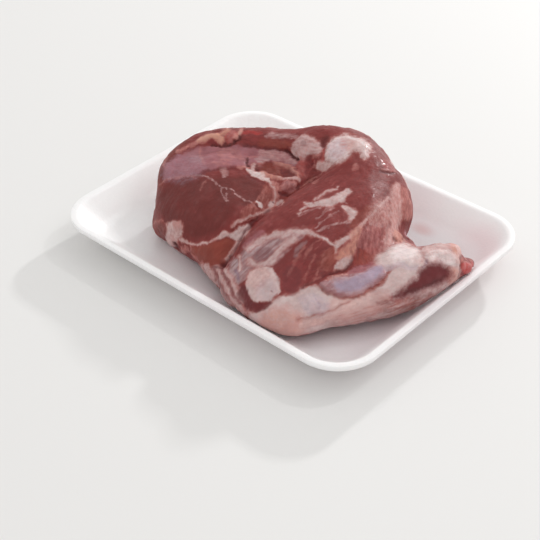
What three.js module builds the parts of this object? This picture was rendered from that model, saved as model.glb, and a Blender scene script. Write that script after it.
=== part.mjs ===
// A raw shoulder of lamb, on the bone with its shank folded alongside, on an open white foam tray.
// Millimetres, +Z up. The tray's long side lies along X, its underside is at z = 0 and its middle
// at x = y = 0. The shank lies along the end of the tray at +X.
import * as THREE from "three";

// Driving dimensions of the tray
const TRAY_LENGTH = 300;
const TRAY_WIDTH = 230;
const TRAY_HEIGHT = 26;
const RIM_CORNER_RADIUS = 35;
const FLOOR_CORNER_RADIUS = 16;
const LIP_WIDTH = 4.8;
const LIP_THICKNESS = 4.5;
const LIP_ROUNDING = 1.6;
const FLOOR_THICKNESS = 4;
const WALL_THICKNESS = 3.6;
const WALL_RUN = 20;
const FLOOR_ROUNDING = 12;
const FLOOR_CURVE_RISE = 7.2; // height above the floor where the wall becomes straight
const FOOT_ROUNDING = 3;
const WALL_ANGLE = Math.atan2(TRAY_HEIGHT - FLOOR_THICKNESS, WALL_RUN);
const CORNER_STEPS = 8;
const CURVE_STEPS = 4;

// Driving dimensions of the meat
const MEAT_GAP = 0.3; // the meat rests this far off the foam
const WALL_GAP = 1.5;
const CELL = 5.05; // size of the grid that the meat's skin is drawn on
const GRID_MARGIN = 2; // cells left empty round the meat
const GRID_START = 1.5; // cells below the meat's underside
const GRID_TOP = 95; // above the highest muscle
const CHEQUER_ROUNDS = 4;
const LEAST_DEPTH = 0.05;
const SLOPE_STEP = 0.4;
const SETTLE_ROUNDS = 3;
const SETTLE_REACH = 1.5; // the most that a point moves in one round
const LEAST_STEEPNESS = 0.05;
const SEAM_ROUNDING = 7;
const SEAM_FLARE = 0.35;
const RUN_STEPS = 4; // stretches between two given points of a bar or seam
const RELAX_ROUNDS = 4;
const RELAX_SHARE = 0.5;
const SOFTENING_SHARE = 0.35; // one last draw that rounds off the jagged edges in the creases

// The foam tray

// How far the inner wall's face is in from the rim's outer edge, at a height
function innerWallInset(z) {
  const slope = WALL_RUN / (TRAY_HEIGHT - FLOOR_THICKNESS);
  return LIP_WIDTH + (TRAY_HEIGHT - z) * slope;
}

// The tray's section from the floor's edge, up the inner wall, over the lip and down to the foot.
// Each point is an inset from the rim's outer edge and a height.
function traySection() {
  const wallAcross = WALL_THICKNESS / Math.sin(WALL_ANGLE);
  const lipUnder = TRAY_HEIGHT - LIP_THICKNESS;
  const floorEdge = innerWallInset(FLOOR_THICKNESS);
  const wallStart = FLOOR_THICKNESS + FLOOR_CURVE_RISE;
  const footEdge = innerWallInset(0) - wallAcross;
  const section = new THREE.Path();
  section.moveTo(floorEdge + FLOOR_ROUNDING, FLOOR_THICKNESS);
  section.quadraticCurveTo(floorEdge, FLOOR_THICKNESS, innerWallInset(wallStart), wallStart);
  section.lineTo(innerWallInset(TRAY_HEIGHT - LIP_ROUNDING), TRAY_HEIGHT - LIP_ROUNDING);
  section.quadraticCurveTo(LIP_WIDTH, TRAY_HEIGHT, LIP_WIDTH - LIP_ROUNDING, TRAY_HEIGHT);
  section.lineTo(LIP_ROUNDING, TRAY_HEIGHT);
  section.quadraticCurveTo(0, TRAY_HEIGHT, 0, TRAY_HEIGHT - LIP_ROUNDING);
  section.lineTo(0, lipUnder + LIP_ROUNDING / 2);
  section.quadraticCurveTo(0, lipUnder, LIP_ROUNDING / 2, lipUnder);
  section.lineTo(innerWallInset(lipUnder) - wallAcross, lipUnder - LIP_ROUNDING / 2);
  section.lineTo(innerWallInset(FOOT_ROUNDING) - wallAcross, FOOT_ROUNDING);
  section.quadraticCurveTo(footEdge, 0, footEdge + FOOT_ROUNDING, 0);
  return section.getPoints(CURVE_STEPS);
}

// A closed ring with rounded corners, a given inset from the rim, at one height
function trayRing(inset, z) {
  const halfLength = TRAY_LENGTH / 2 - inset;
  const halfWidth = TRAY_WIDTH / 2 - inset;
  const radius = Math.max(RIM_CORNER_RADIUS - inset, FLOOR_CORNER_RADIUS);
  const ring = [];
  for (let corner = 0; corner < 4; corner += 1) {
    const sideX = corner === 0 || corner === 3 ? 1 : -1;
    const sideY = corner < 2 ? 1 : -1;
    for (let step = 0; step <= CORNER_STEPS; step += 1) {
      const angle = (corner + step / CORNER_STEPS) * (Math.PI / 2);
      const x = sideX * (halfLength - radius) + radius * Math.cos(angle);
      const y = sideY * (halfWidth - radius) + radius * Math.sin(angle);
      ring.push(new THREE.Vector3(x, y, z));
    }
  }
  return ring;
}

// A closed skin through rings of equal count, with a fan over the first and the last ring
function skinThroughRings(rings) {
  const count = rings[0].length;
  const points = rings.flat();
  const faces = [];
  for (let row = 0; row + 1 < rings.length; row += 1) {
    for (let i = 0; i < count; i += 1) {
      const a = row * count + i;
      const b = row * count + ((i + 1) % count);
      faces.push(a, a + count, b);
      faces.push(b, a + count, b + count);
    }
  }
  for (const row of [0, rings.length - 1]) {
    const middle = points.length;
    points.push(new THREE.Vector3(0, 0, rings[row][0].z));
    for (let i = 0; i < count; i += 1) {
      const a = row * count + i;
      const b = row * count + ((i + 1) % count);
      if (row === 0) faces.push(middle, a, b);
      else faces.push(middle, b, a);
    }
  }
  const geometry = new THREE.BufferGeometry().setFromPoints(points);
  geometry.setIndex(faces);
  return geometry;
}

function trayGeometry() {
  const rings = traySection().map((point) => trayRing(point.x, point.y));
  return skinThroughRings(rings);
}

// The meat

// Muscles that are soft lumps: middle, half sizes, turn in plan in degrees, and how widely each one
// melts into what it lies on.
const LUMPS = [
  { name: "underside", middle: [-14, -2, 22], half: [92, 72, 26], turn: -6, melt: 10 },
  { name: "heart of the joint", middle: [30, 2, 24], half: [62, 66, 22], turn: 0, melt: 10 },
  { name: "bed of the knobs", middle: [6, 34, 50], half: [22, 20, 16], turn: 0, melt: 6 },
  { name: "left lean muscle", middle: [-40, -34, 24], half: [61, 40, 33], turn: 8, melt: 10 },
  { name: "lean beside the seam", middle: [-16, -28, 35], half: [21, 36, 23], turn: 0, melt: 9 },
  { name: "membrane muscle", middle: [-56, -7, 30], half: [53, 40, 34], turn: 24, melt: 12 },
  { name: "neck muscle", middle: [-10, 10, 32], half: [44, 40, 31], turn: 24, melt: 10 },
  { name: "flank muscle", middle: [76, 3, 34], half: [19, 48, 25], turn: 14, melt: 7 },
  { name: "elbow", middle: [68, -81, 20], half: [27, 19, 16], turn: 30, melt: 9 },
  { name: "cartilage knob", middle: [22, 46, 69], half: [27, 16, 13], turn: 35, melt: 6 },
  { name: "fatty knob", middle: [-9, 37, 65], half: [13, 10, 11], turn: 30, melt: 5 },
  { name: "orange lobe", middle: [-16, -66, 22], half: [23, 13, 14], turn: 2, melt: 5 },
  { name: "left corner lobe", middle: [-79, -57, 14], half: [14, 10, 11], turn: 20, melt: 5 },
  { name: "flap above the slit", middle: [50, 55, 56], half: [12, 12, 12], turn: 0, melt: 7 },
  { name: "side flap", middle: [72, 44, 38], half: [9, 20, 16], turn: 20, melt: 7 },
  { name: "tissue nub", middle: [93, 24, 37], half: [12, 10, 9], turn: 40, melt: 6 },
  { name: "shank root", middle: [96, 0, 33], half: [18, 22, 16], turn: 10, melt: 8 },
  { name: "silverskin bulge", middle: [96, -45, 36], half: [24, 9, 10], turn: 44, melt: 6 },
  { name: "shank tab", middle: [128, 28, 38], half: [11, 9, 9], turn: 42, melt: 4 },
  { name: "cut end of the shank", middle: [132, 49, 19], half: [13, 9, 7], turn: 60, melt: 3 },
];

// Muscles that are long and round: points along the middle, each with its radius
const BARS = [
  {
    name: "outer side of the arm muscle",
    melt: 12,
    path: [
      [49, 38, 45, 31],
      [52, 18, 42, 32],
      [54, -14, 36, 34],
      [54, -50, 27, 30],
      [54, -78, 20, 22],
    ],
  },
  {
    name: "inner side of the arm muscle",
    melt: 12,
    path: [
      [33, 34, 50, 22],
      [28, 16, 48, 23],
      [25, -8, 44, 23],
      [22, -34, 38, 23],
      [20, -58, 31, 21],
      [24, -78, 22, 17],
    ],
  },
  {
    name: "back bar",
    melt: 10,
    path: [
      [-87, -40, 38, 12],
      [-99, -28, 44, 13],
      [-98, 1, 51, 14],
      [-84, 15, 54, 15],
      [-70, 22, 57, 15],
      [-32, 41, 61, 16],
      [-8, 55, 65, 18],
      [12, 64, 62, 19],
      [28, 64, 56, 17],
      [39, 56, 48, 16],
    ],
  },
  {
    name: "near side strands",
    melt: 8,
    path: [
      [-12, -72, 14, 8],
      [16, -80, 15, 9],
      [40, -90, 17, 10],
    ],
  },
  {
    name: "shank",
    melt: 7,
    path: [
      [80, -66, 24, 18],
      [100, -36, 26, 20],
      [112, -10, 28, 23],
      [123, 14, 30, 20],
      [130, 29, 30, 16],
      [132, 36, 28, 13],
    ],
  },
];

// Deep seams between muscles: points along the bottom of each, with half its width there. They
// widen upwards.
const SEAMS = [
  {
    name: "seam beside the arm muscle",
    path: [
      [10, 17, 60, 3],
      [4, -3, 55, 3],
      [2, -26, 51, 3],
      [0, -48, 46, 3],
      [0, -62, 39, 3],
      [2, -73, 30, 3],
    ],
  },
];

for (const piece of [...BARS, ...SEAMS]) piece.run = smoothRun(piece.path);

function ellipsoidDistance(lump, point) {
  const turn = THREE.MathUtils.degToRad(lump.turn);
  const x = point.x - lump.middle[0];
  const y = point.y - lump.middle[1];
  const along = (x * Math.cos(turn) + y * Math.sin(turn)) / lump.half[0];
  const across = (y * Math.cos(turn) - x * Math.sin(turn)) / lump.half[1];
  const up = (point.z - lump.middle[2]) / lump.half[2];
  const near = Math.hypot(along, across, up);
  const steep = Math.hypot(along / lump.half[0], across / lump.half[1], up / lump.half[2]);
  return steep > 0 ? (near * (near - 1)) / steep : -Math.min(...lump.half);
}

// A smooth run of places, each with its radius, through the few that a bar or a seam is given by
function smoothRun(path) {
  const places = new THREE.CatmullRomCurve3(path.map((p) => new THREE.Vector3(p[0], p[1], p[2])));
  const radii = new THREE.CatmullRomCurve3(path.map((p) => new THREE.Vector3(p[3], 0, 0)));
  const steps = (path.length - 1) * RUN_STEPS;
  const run = [];
  for (let i = 0; i <= steps; i += 1) {
    const place = places.getPoint(i / steps);
    run.push([place.x, place.y, place.z, radii.getPoint(i / steps).x]);
  }
  return run;
}

// Least distance from a point to a run of round stretches. An open run is a slot that goes on
// upwards from its bottom line, so above that line only the distance in plan counts.
function runDistance(run, point, open) {
  let least = Infinity;
  for (let i = 0; i + 1 < run.length; i += 1) {
    const [ax, ay, az, ar] = run[i];
    const [dx, dy, dz, dr] = run[i + 1].map((value, n) => value - run[i][n]);
    const flat = open ? 0 : 1;
    const dot = (point.x - ax) * dx + (point.y - ay) * dy + (point.z - az) * dz * flat;
    const t = THREE.MathUtils.clamp(dot / (dx * dx + dy * dy + dz * dz * flat), 0, 1);
    const below = az + dz * t - point.z;
    const rise = open ? Math.max(below, 0) : below;
    const distance = Math.hypot(ax + dx * t - point.x, ay + dy * t - point.y, rise);
    const flare = open ? SEAM_FLARE * Math.max(-below, 0) : 0;
    least = Math.min(least, distance - ar - dr * t - flare);
  }
  return least;
}

// The lesser of two distances, rounded off over a width where they are nearly alike
function softMin(a, b, width) {
  const share = Math.max(width - Math.abs(a - b), 0) / width;
  return Math.min(a, b) - (share * share * width) / 4;
}

// Distance to the space inside the tray, which the meat can't leave: positive in the foam
function trayLimit(point) {
  const inset = innerWallInset(Math.min(point.z, TRAY_HEIGHT)) + WALL_GAP;
  const radius = Math.max(RIM_CORNER_RADIUS - inset, FLOOR_CORNER_RADIUS);
  const outX = Math.abs(point.x) - (TRAY_LENGTH / 2 - inset - radius);
  const outY = Math.abs(point.y) - (TRAY_WIDTH / 2 - inset - radius);
  const beyond = Math.hypot(Math.max(outX, 0), Math.max(outY, 0));
  const wall = beyond + Math.min(Math.max(outX, outY), 0) - radius;
  const floor = FLOOR_THICKNESS + MEAT_GAP - point.z;
  return -softMin(-floor, -wall * Math.sin(WALL_ANGLE), FLOOR_ROUNDING);
}

function meatDistance(point) {
  let distance = Infinity;
  for (const lump of LUMPS) {
    distance = softMin(distance, ellipsoidDistance(lump, point), lump.melt);
  }
  for (const bar of BARS) {
    distance = softMin(distance, runDistance(bar.run, point, false), bar.melt);
  }
  for (const seam of SEAMS) {
    distance = -softMin(-distance, runDistance(seam.run, point, true), SEAM_ROUNDING);
  }
  return Math.max(distance, trayLimit(point));
}

// Where the signs at the corners of a grid square make a chequer, the skin would touch itself
// along an edge, so the outside corner nearest to the skin is taken in
function partChequers(field, corner, count) {
  const squares = [
    [[0, 0, 0], [1, 0, 0], [1, 1, 0], [0, 1, 0]],
    [[0, 0, 0], [1, 0, 0], [1, 0, 1], [0, 0, 1]],
    [[0, 0, 0], [0, 1, 0], [0, 1, 1], [0, 0, 1]],
  ];
  for (let k = 0; k + 1 < count[2]; k += 1)
    for (let j = 0; j + 1 < count[1]; j += 1)
      for (let i = 0; i + 1 < count[0]; i += 1)
        for (const square of squares) {
          const ring = square.map(([a, b, c]) => corner(i + a, j + b, k + c));
          const [p, q, r, s] = ring.map((n) => field[n] < 0);
          if (p === q || p !== r || q !== s) continue;
          const outside = ring.filter((n) => field[n] >= 0);
          outside.sort((m, n) => field[m] - field[n]);
          field[outside[0]] = -Math.max(field[outside[0]], LEAST_DEPTH);
        }
}

// The skin of a solid given by a distance function: one point in each grid cell that the skin
// crosses, and two triangles for each grid edge that it crosses.
function skinOfDistance(distanceAt, low, high, cell) {
  const size = high.clone().sub(low).divideScalar(cell);
  const count = [size.x, size.y, size.z].map((n) => Math.ceil(n) + 1);
  const corner = (i, j, k) => i + count[0] * (j + count[1] * k);
  const place = (i, j, k) => new THREE.Vector3(i, j, k).multiplyScalar(cell).add(low);
  const field = new Float32Array(count[0] * count[1] * count[2]);
  for (let k = 0; k < count[2]; k += 1)
    for (let j = 0; j < count[1]; j += 1)
      for (let i = 0; i < count[0]; i += 1) field[corner(i, j, k)] = distanceAt(place(i, j, k));
  for (let round = 0; round < CHEQUER_ROUNDS; round += 1) partChequers(field, corner, count);

  const points = [];
  const pointOfCell = new Map();
  const offsets = [0, 1, 2, 3, 4, 5, 6, 7].map((n) => [n & 1, (n >> 1) & 1, n >> 2]);
  for (let k = 0; k + 1 < count[2]; k += 1)
    for (let j = 0; j + 1 < count[1]; j += 1)
      for (let i = 0; i + 1 < count[0]; i += 1) {
        const values = offsets.map(([a, b, c]) => field[corner(i + a, j + b, k + c)]);
        if (values.every((v) => v < 0) || values.every((v) => v >= 0)) continue;
        const middle = new THREE.Vector3();
        let crossings = 0;
        for (let m = 0; m < 8; m += 1)
          for (const step of [1, 2, 4]) {
            const n = m | step;
            if (n === m || values[m] < 0 === values[n] < 0) continue;
            const share = values[m] / (values[m] - values[n]);
            const from = new THREE.Vector3(...offsets[m]);
            middle.add(from.lerp(new THREE.Vector3(...offsets[n]), share));
            crossings += 1;
          }
        middle.divideScalar(crossings).multiplyScalar(cell).add(place(i, j, k));
        pointOfCell.set(corner(i, j, k), points.length);
        points.push(middle);
      }

  const faces = [];
  const addQuad = (a, b, c, d, outward) => {
    const ring = outward ? [a, b, c, d] : [d, c, b, a];
    const [p, q, r, s] = ring.map((n) => points[n]);
    if (p.distanceTo(r) < q.distanceTo(s)) {
      faces.push(ring[0], ring[1], ring[2], ring[0], ring[2], ring[3]);
    } else {
      faces.push(ring[0], ring[1], ring[3], ring[1], ring[2], ring[3]);
    }
  };
  const cellPoint = (i, j, k) => pointOfCell.get(corner(i, j, k));
  for (let k = 1; k + 1 < count[2]; k += 1)
    for (let j = 1; j + 1 < count[1]; j += 1)
      for (let i = 1; i + 1 < count[0]; i += 1) {
        const inside = field[corner(i, j, k)] < 0;
        if (inside !== field[corner(i + 1, j, k)] < 0)
          addQuad(
            cellPoint(i, j - 1, k - 1),
            cellPoint(i, j, k - 1),
            cellPoint(i, j, k),
            cellPoint(i, j - 1, k),
            inside,
          );
        if (inside !== field[corner(i, j + 1, k)] < 0)
          addQuad(
            cellPoint(i - 1, j, k - 1),
            cellPoint(i - 1, j, k),
            cellPoint(i, j, k),
            cellPoint(i, j, k - 1),
            inside,
          );
        if (inside !== field[corner(i, j, k + 1)] < 0)
          addQuad(
            cellPoint(i - 1, j - 1, k),
            cellPoint(i, j - 1, k),
            cellPoint(i, j, k),
            cellPoint(i - 1, j, k),
            inside,
          );
      }
  return { points, faces };
}

// Moves a point along the distance's own slope until it lies on the skin
function settleOnSkin(point, distanceAt) {
  for (let round = 0; round < SETTLE_ROUNDS; round += 1) {
    const here = distanceAt(point);
    const slope = new THREE.Vector3(
      distanceAt(point.clone().setX(point.x + SLOPE_STEP)) - here,
      distanceAt(point.clone().setY(point.y + SLOPE_STEP)) - here,
      distanceAt(point.clone().setZ(point.z + SLOPE_STEP)) - here,
    ).divideScalar(SLOPE_STEP);
    const steepness = slope.lengthSq();
    if (steepness < LEAST_STEEPNESS) return;
    const move = THREE.MathUtils.clamp(-here / steepness, -SETTLE_REACH, SETTLE_REACH);
    point.addScaledVector(slope, move);
  }
}

// Draws each point a share of the way towards the middle of its neighbours
function drawTogether(points, neighbours, share) {
  const middles = neighbours.map((set) => {
    const sum = new THREE.Vector3();
    for (const n of set) sum.add(points[n]);
    return sum.divideScalar(set.size);
  });
  points.forEach((point, n) => point.lerp(middles[n], share));
}

// Evens out the triangles, with each point put back onto the skin, and softens the creases
function relaxOnSkin(points, faces, distanceAt) {
  const neighbours = points.map(() => new Set());
  for (let f = 0; f < faces.length; f += 3)
    for (let side = 0; side < 3; side += 1) {
      const a = faces[f + side];
      const b = faces[f + ((side + 1) % 3)];
      neighbours[a].add(b);
      neighbours[b].add(a);
    }
  for (let round = 0; round < RELAX_ROUNDS; round += 1) {
    drawTogether(points, neighbours, RELAX_SHARE);
    for (const point of points) settleOnSkin(point, distanceAt);
  }
  drawTogether(points, neighbours, SOFTENING_SHARE);
}

function meatGeometry() {
  const margin = GRID_MARGIN * CELL;
  const sideX = TRAY_LENGTH / 2 + margin;
  const sideY = TRAY_WIDTH / 2 + margin;
  const low = new THREE.Vector3(-sideX, -sideY, FLOOR_THICKNESS + MEAT_GAP - GRID_START * CELL);
  const high = new THREE.Vector3(sideX, sideY, GRID_TOP);
  const { points, faces } = skinOfDistance(meatDistance, low, high, CELL);
  relaxOnSkin(points, faces, meatDistance);
  const geometry = new THREE.BufferGeometry().setFromPoints(points);
  geometry.setIndex(faces);
  return geometry;
}

const foamWhite = new THREE.MeshStandardMaterial({ color: 0xf2eff0, roughness: 0.62, metalness: 0 });
const rawLean = new THREE.MeshStandardMaterial({ color: 0x86504c, roughness: 0.36, metalness: 0 });

const tray = new THREE.Mesh(trayGeometry(), foamWhite);
tray.name = "foam_tray";

const meat = new THREE.Mesh(meatGeometry(), rawLean);
meat.name = "shoulder_meat";

const pack = new THREE.Group();
pack.add(tray, meat);

export default pack;
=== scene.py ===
import math

import bpy
import numpy as np
from mathutils import Matrix, Vector, bvhtree, noise


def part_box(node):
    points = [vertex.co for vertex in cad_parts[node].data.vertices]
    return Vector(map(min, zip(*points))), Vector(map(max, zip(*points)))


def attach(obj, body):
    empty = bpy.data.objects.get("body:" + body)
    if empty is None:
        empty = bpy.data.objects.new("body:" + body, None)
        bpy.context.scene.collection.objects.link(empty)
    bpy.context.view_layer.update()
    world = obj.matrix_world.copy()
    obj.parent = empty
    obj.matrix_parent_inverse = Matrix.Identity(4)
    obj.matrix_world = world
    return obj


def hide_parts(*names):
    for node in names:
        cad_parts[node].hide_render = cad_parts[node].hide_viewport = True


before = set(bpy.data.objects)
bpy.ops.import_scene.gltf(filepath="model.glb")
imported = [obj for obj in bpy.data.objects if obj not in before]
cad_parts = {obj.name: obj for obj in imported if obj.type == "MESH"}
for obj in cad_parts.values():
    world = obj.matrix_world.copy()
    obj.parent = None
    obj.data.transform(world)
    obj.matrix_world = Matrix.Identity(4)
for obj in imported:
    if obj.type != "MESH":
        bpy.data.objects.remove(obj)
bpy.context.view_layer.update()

# The camera
# A studio camera on a long lens, looking down over the tray's near right corner. Its place and
# turn are worked out from the tray's four corners in the photograph.
CAMERA_PLACE = Vector((0.5377, -0.6053, 0.5985))
CAMERA_FORWARD = Vector((-0.5387, 0.5830, -0.6082)).normalized()
CAMERA_ROLL = math.radians(-1.0)
LENS_MM = 84.0
SENSOR_MM = 36.0
PHOTO_SIDE = 540
PHOTO_FOCAL = LENS_MM / SENSOR_MM * PHOTO_SIDE

camera_data = bpy.data.cameras.new("studio_camera")
camera_data.lens = LENS_MM
camera_data.sensor_width = SENSOR_MM
camera = bpy.data.objects.new("studio_camera", camera_data)
bpy.context.scene.collection.objects.link(camera)
level_right = CAMERA_FORWARD.cross(Vector((0, 0, 1))).normalized()
level_up = level_right.cross(CAMERA_FORWARD)
camera_right = level_right * math.cos(CAMERA_ROLL) + level_up * math.sin(CAMERA_ROLL)
camera_up = level_up * math.cos(CAMERA_ROLL) - level_right * math.sin(CAMERA_ROLL)
turn = Matrix((camera_right, camera_up, -CAMERA_FORWARD)).transposed()
camera.matrix_world = Matrix.Translation(CAMERA_PLACE) @ turn.to_4x4()
bpy.context.scene.camera = camera

# The light and the table
# A low softbox behind the tray throws the long soft shadow, a wide one overhead and the pale
# room fill it in, and a small lamp above gives the wet glints. The table is a plain pale sheet.
KEY_FROM = Vector((-0.152, 0.920, 0.361)).normalized()
KEY_AWAY = 2.6
KEY_SIDE = 0.13
KEY_WATTS = 25.0
TOP_FROM = Vector((0.45, 0.45, 1.0)).normalized()
TOP_AWAY = 1.8
TOP_SIDE = 1.2
TOP_WATTS = 3.4
GLINT_FROM = Vector((0.250, 0.600, 0.745)).normalized()
GLINT_AWAY = 2.2
GLINT_SIDE = 0.10
GLINT_WATTS = 4.0
ROOM_COLOUR = (1.0, 0.99, 0.98)
ROOM_STRENGTH = 0.80
TABLE_COLOUR = (0.80, 0.795, 0.785)
TABLE_REACH = 8.0
TABLE_DROP = 0.0002
TABLE_ROUGHNESS = 0.7
MIDDLE = Vector((0, 0, 0.03))

for name, side, away, watts, aim in (
    ("key_softbox", KEY_SIDE, KEY_AWAY, KEY_WATTS, KEY_FROM),
    ("top_softbox", TOP_SIDE, TOP_AWAY, TOP_WATTS, TOP_FROM),
    ("glint_light", GLINT_SIDE, GLINT_AWAY, GLINT_WATTS, GLINT_FROM),
):
    box_data = bpy.data.lights.new(name, "AREA")
    box_data.size = side
    box_data.energy = watts
    box_light = bpy.data.objects.new(name, box_data)
    box_light.location = MIDDLE + aim * away
    box_light.rotation_euler = aim.to_track_quat("Z", "Y").to_euler()
    bpy.context.scene.collection.objects.link(box_light)

room = bpy.data.worlds.new("pale_room")
room.use_nodes = True
room.node_tree.nodes["Background"].inputs["Color"].default_value = (*ROOM_COLOUR, 1)
room.node_tree.nodes["Background"].inputs["Strength"].default_value = ROOM_STRENGTH
bpy.context.scene.world = room
bpy.context.scene.view_settings.view_transform = "Standard"

bpy.ops.object.select_all(action="DESELECT")
bpy.ops.mesh.primitive_plane_add(size=TABLE_REACH, location=(0, 0, -TABLE_DROP))
table = bpy.context.active_object
table.name = "table_top"
bpy.ops.object.transform_apply(location=True, rotation=True, scale=True)
table_paint = bpy.data.materials.new("pale_table")
table_paint.use_nodes = True
table_shader = table_paint.node_tree.nodes["Principled BSDF"]
table_shader.inputs["Base Color"].default_value = (*TABLE_COLOUR, 1)
table_shader.inputs["Roughness"].default_value = TABLE_ROUGHNESS
table.data.materials.append(table_paint)


# The foam tray
# A butcher's tray of white expanded polystyrene foam, pressed from one sheet: a flat floor,
# sloping walls and a rolled lip. Pressed foam shows its beads faintly and takes up meat juice.
TRAY_LOW, TRAY_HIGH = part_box("foam_tray")
TRAY_LENGTH = TRAY_HIGH.x - TRAY_LOW.x
TRAY_WIDTH = TRAY_HIGH.y - TRAY_LOW.y
TRAY_HEIGHT = TRAY_HIGH.z
RIM_CORNER_RADIUS = 0.035
CORNER_STEPS = 20
LIP_WIDTH = 0.0048
LIP_ROUNDING = 0.0016
WALL_RUN = 0.020
FLOOR_THICKNESS = 0.004
FLOOR_ROUNDING = 0.012
FLOOR_CURVE_RISE = 0.0072
CURVE_STEPS = 8
CORNER_TIGHTENING = 0.33
EDGE_ROUNDING = 0.0014
FOAM_WHITE = (0.935, 0.922, 0.922)
SMEAR_COLOUR = (0.72, 0.36, 0.34)
BEAD_SHADE = (0.70, 0.70, 0.73)
BEAD_DEPTH = 0.0004
FOAM_ROUGHNESS = 0.30
# The pink of the painted shade on the floor round the joint
FLOOR_SHADE_TINT = (0.870, 0.745, 0.785)
# The pink of the painted shade on the far right corner's inner wall
CORNER_SHADE_TINT = (0.840, 0.660, 0.680)
BEAD_SIZE = 0.0021


class Wire:
    """A socket in a material. Sums and products of wires and numbers add Math nodes."""

    def __init__(self, tree, socket=None):
        self.tree = tree
        self.socket = socket

    def node(self, kind, settings=None, sockets=None, output=0):
        """Adds a node: its settings first, then its sockets' values or links."""
        made = self.tree.nodes.new(kind)
        for name, value in (settings or {}).items():
            setattr(made, name, value)
        for name, value in (sockets or {}).items():
            if isinstance(name, int):
                place = made.inputs[name]
            else:
                place = [s for s in made.inputs if name in (s.identifier, s.name)][0]
            if isinstance(value, Wire):
                self.tree.links.new(value.socket, place)
            else:
                place.default_value = value
        if isinstance(output, str):
            return Wire(self.tree, [s for s in made.outputs if output in (s.identifier, s.name)][0])
        return Wire(self.tree, made.outputs[output])

    def math(self, operation, *others):
        made = self.tree.nodes.new("ShaderNodeMath")
        made.operation = operation
        for place, value in zip(made.inputs, (self, *others)):
            if isinstance(value, Wire):
                self.tree.links.new(value.socket, place)
            else:
                place.default_value = value
        return Wire(self.tree, made.outputs[0])

    def __add__(self, other):
        return self.math("ADD", other)

    __radd__ = __add__

    def __mul__(self, other):
        return self.math("MULTIPLY", other)

    __rmul__ = __mul__

    def __sub__(self, other):
        return self.math("SUBTRACT", other)

    def __rsub__(self, other):
        return (self * -1) + other

    def between(self, low, high):
        """0 below low, 1 above high, and a soft step in between."""
        settings = {"interpolation_type": "SMOOTHSTEP"}
        sockets = {"Value": self, "From Min": low, "From Max": high}
        return self.node("ShaderNodeMapRange", settings, sockets)

    def mixed(self, first, second):
        """A colour that goes from first to second as this wire goes from 0 to 1."""
        ends = {}
        for name, colour in (("A_Color", first), ("B_Color", second)):
            ends[name] = colour if isinstance(colour, Wire) else (*colour, 1)
        settings = {"data_type": "RGBA"}
        return self.node("ShaderNodeMix", settings, {"Factor_Float": self, **ends}, "Result_Color")

    def noise(self, place, scale, detail=3.0, roughness=0.5):
        sockets = {"Vector": place, "Scale": scale, "Detail": detail, "Roughness": roughness}
        return self.node("ShaderNodeTexNoise", None, sockets)

    def stretched(self, place, across):
        return self.node("ShaderNodeVectorMath", {"operation": "MULTIPLY"}, {0: place, 1: across})


def wall_section():
    """Insets from the rim's edge and heights, from the lip's inner edge down to the floor."""
    slope = WALL_RUN / (TRAY_HEIGHT - FLOOR_THICKNESS)

    def inset_at(z):
        return LIP_WIDTH + (TRAY_HEIGHT - z) * slope

    lip = [
        (LIP_WIDTH - LIP_ROUNDING, TRAY_HEIGHT),
        (LIP_WIDTH, TRAY_HEIGHT),
        (inset_at(TRAY_HEIGHT - LIP_ROUNDING), TRAY_HEIGHT - LIP_ROUNDING),
    ]
    wall_foot = FLOOR_THICKNESS + FLOOR_CURVE_RISE
    foot = [
        (inset_at(wall_foot), wall_foot),
        (inset_at(FLOOR_THICKNESS), FLOOR_THICKNESS),
        (inset_at(FLOOR_THICKNESS) + FLOOR_ROUNDING, FLOOR_THICKNESS),
    ]
    section = [lip[0]]
    for start, bend, end in (lip, foot):
        for step in range(CURVE_STEPS + 1):
            t = step / CURVE_STEPS
            weights = ((1 - t) ** 2, 2 * t * (1 - t), t**2)
            point = [sum(w * p[i] for w, p in zip(weights, (start, bend, end))) for i in (0, 1)]
            if point[0] > section[-1][0]:
                section.append(tuple(point))
    return section


bpy.ops.mesh.primitive_plane_add(size=1, location=(0, 0, TRAY_HEIGHT))
tray = bpy.context.active_object
tray.name = "foam_tray_shell"
tray.scale = (TRAY_LENGTH, TRAY_WIDTH, 1)
bpy.ops.object.transform_apply(location=True, rotation=True, scale=True)
bpy.ops.object.mode_set(mode="EDIT")
bpy.ops.mesh.select_all(action="SELECT")
bpy.ops.mesh.bevel(affect="VERTICES", offset=RIM_CORNER_RADIUS, segments=CORNER_STEPS, profile=0.5)
bpy.ops.mesh.select_mode(type="FACE")
bpy.ops.mesh.select_all(action="SELECT")
inset_so_far, height_so_far = 0.0, TRAY_HEIGHT
for inset, height in wall_section():
    step_in = inset - inset_so_far
    inset_part = step_in if inset <= LIP_WIDTH else step_in * CORNER_TIGHTENING
    bpy.ops.mesh.inset(
        thickness=inset_part, depth=height - height_so_far, use_boundary=True, use_even_offset=True
    )
    shrink = [
        (half - inset) / (half - inset_so_far - inset_part)
        for half in (TRAY_LENGTH / 2, TRAY_WIDTH / 2)
    ]
    bpy.ops.transform.resize(value=(*shrink, 1), center_override=(0, 0, 0))
    inset_so_far, height_so_far = inset, height
bpy.ops.object.mode_set(mode="OBJECT")
bpy.ops.object.modifier_add(type="SOLIDIFY")
tray.modifiers["Solidify"].thickness = FLOOR_THICKNESS
tray.modifiers["Solidify"].offset = -1
tray.modifiers["Solidify"].use_even_offset = True
bpy.ops.object.modifier_apply(modifier="Solidify")
bpy.ops.object.modifier_add(type="BEVEL")
tray.modifiers["Bevel"].width = EDGE_ROUNDING
tray.modifiers["Bevel"].segments = 3
tray.modifiers["Bevel"].limit_method = "ANGLE"
tray.modifiers["Bevel"].angle_limit = math.radians(50)
bpy.ops.object.modifier_apply(modifier="Bevel")
bpy.ops.object.shade_smooth_by_angle(angle=math.radians(35))

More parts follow.
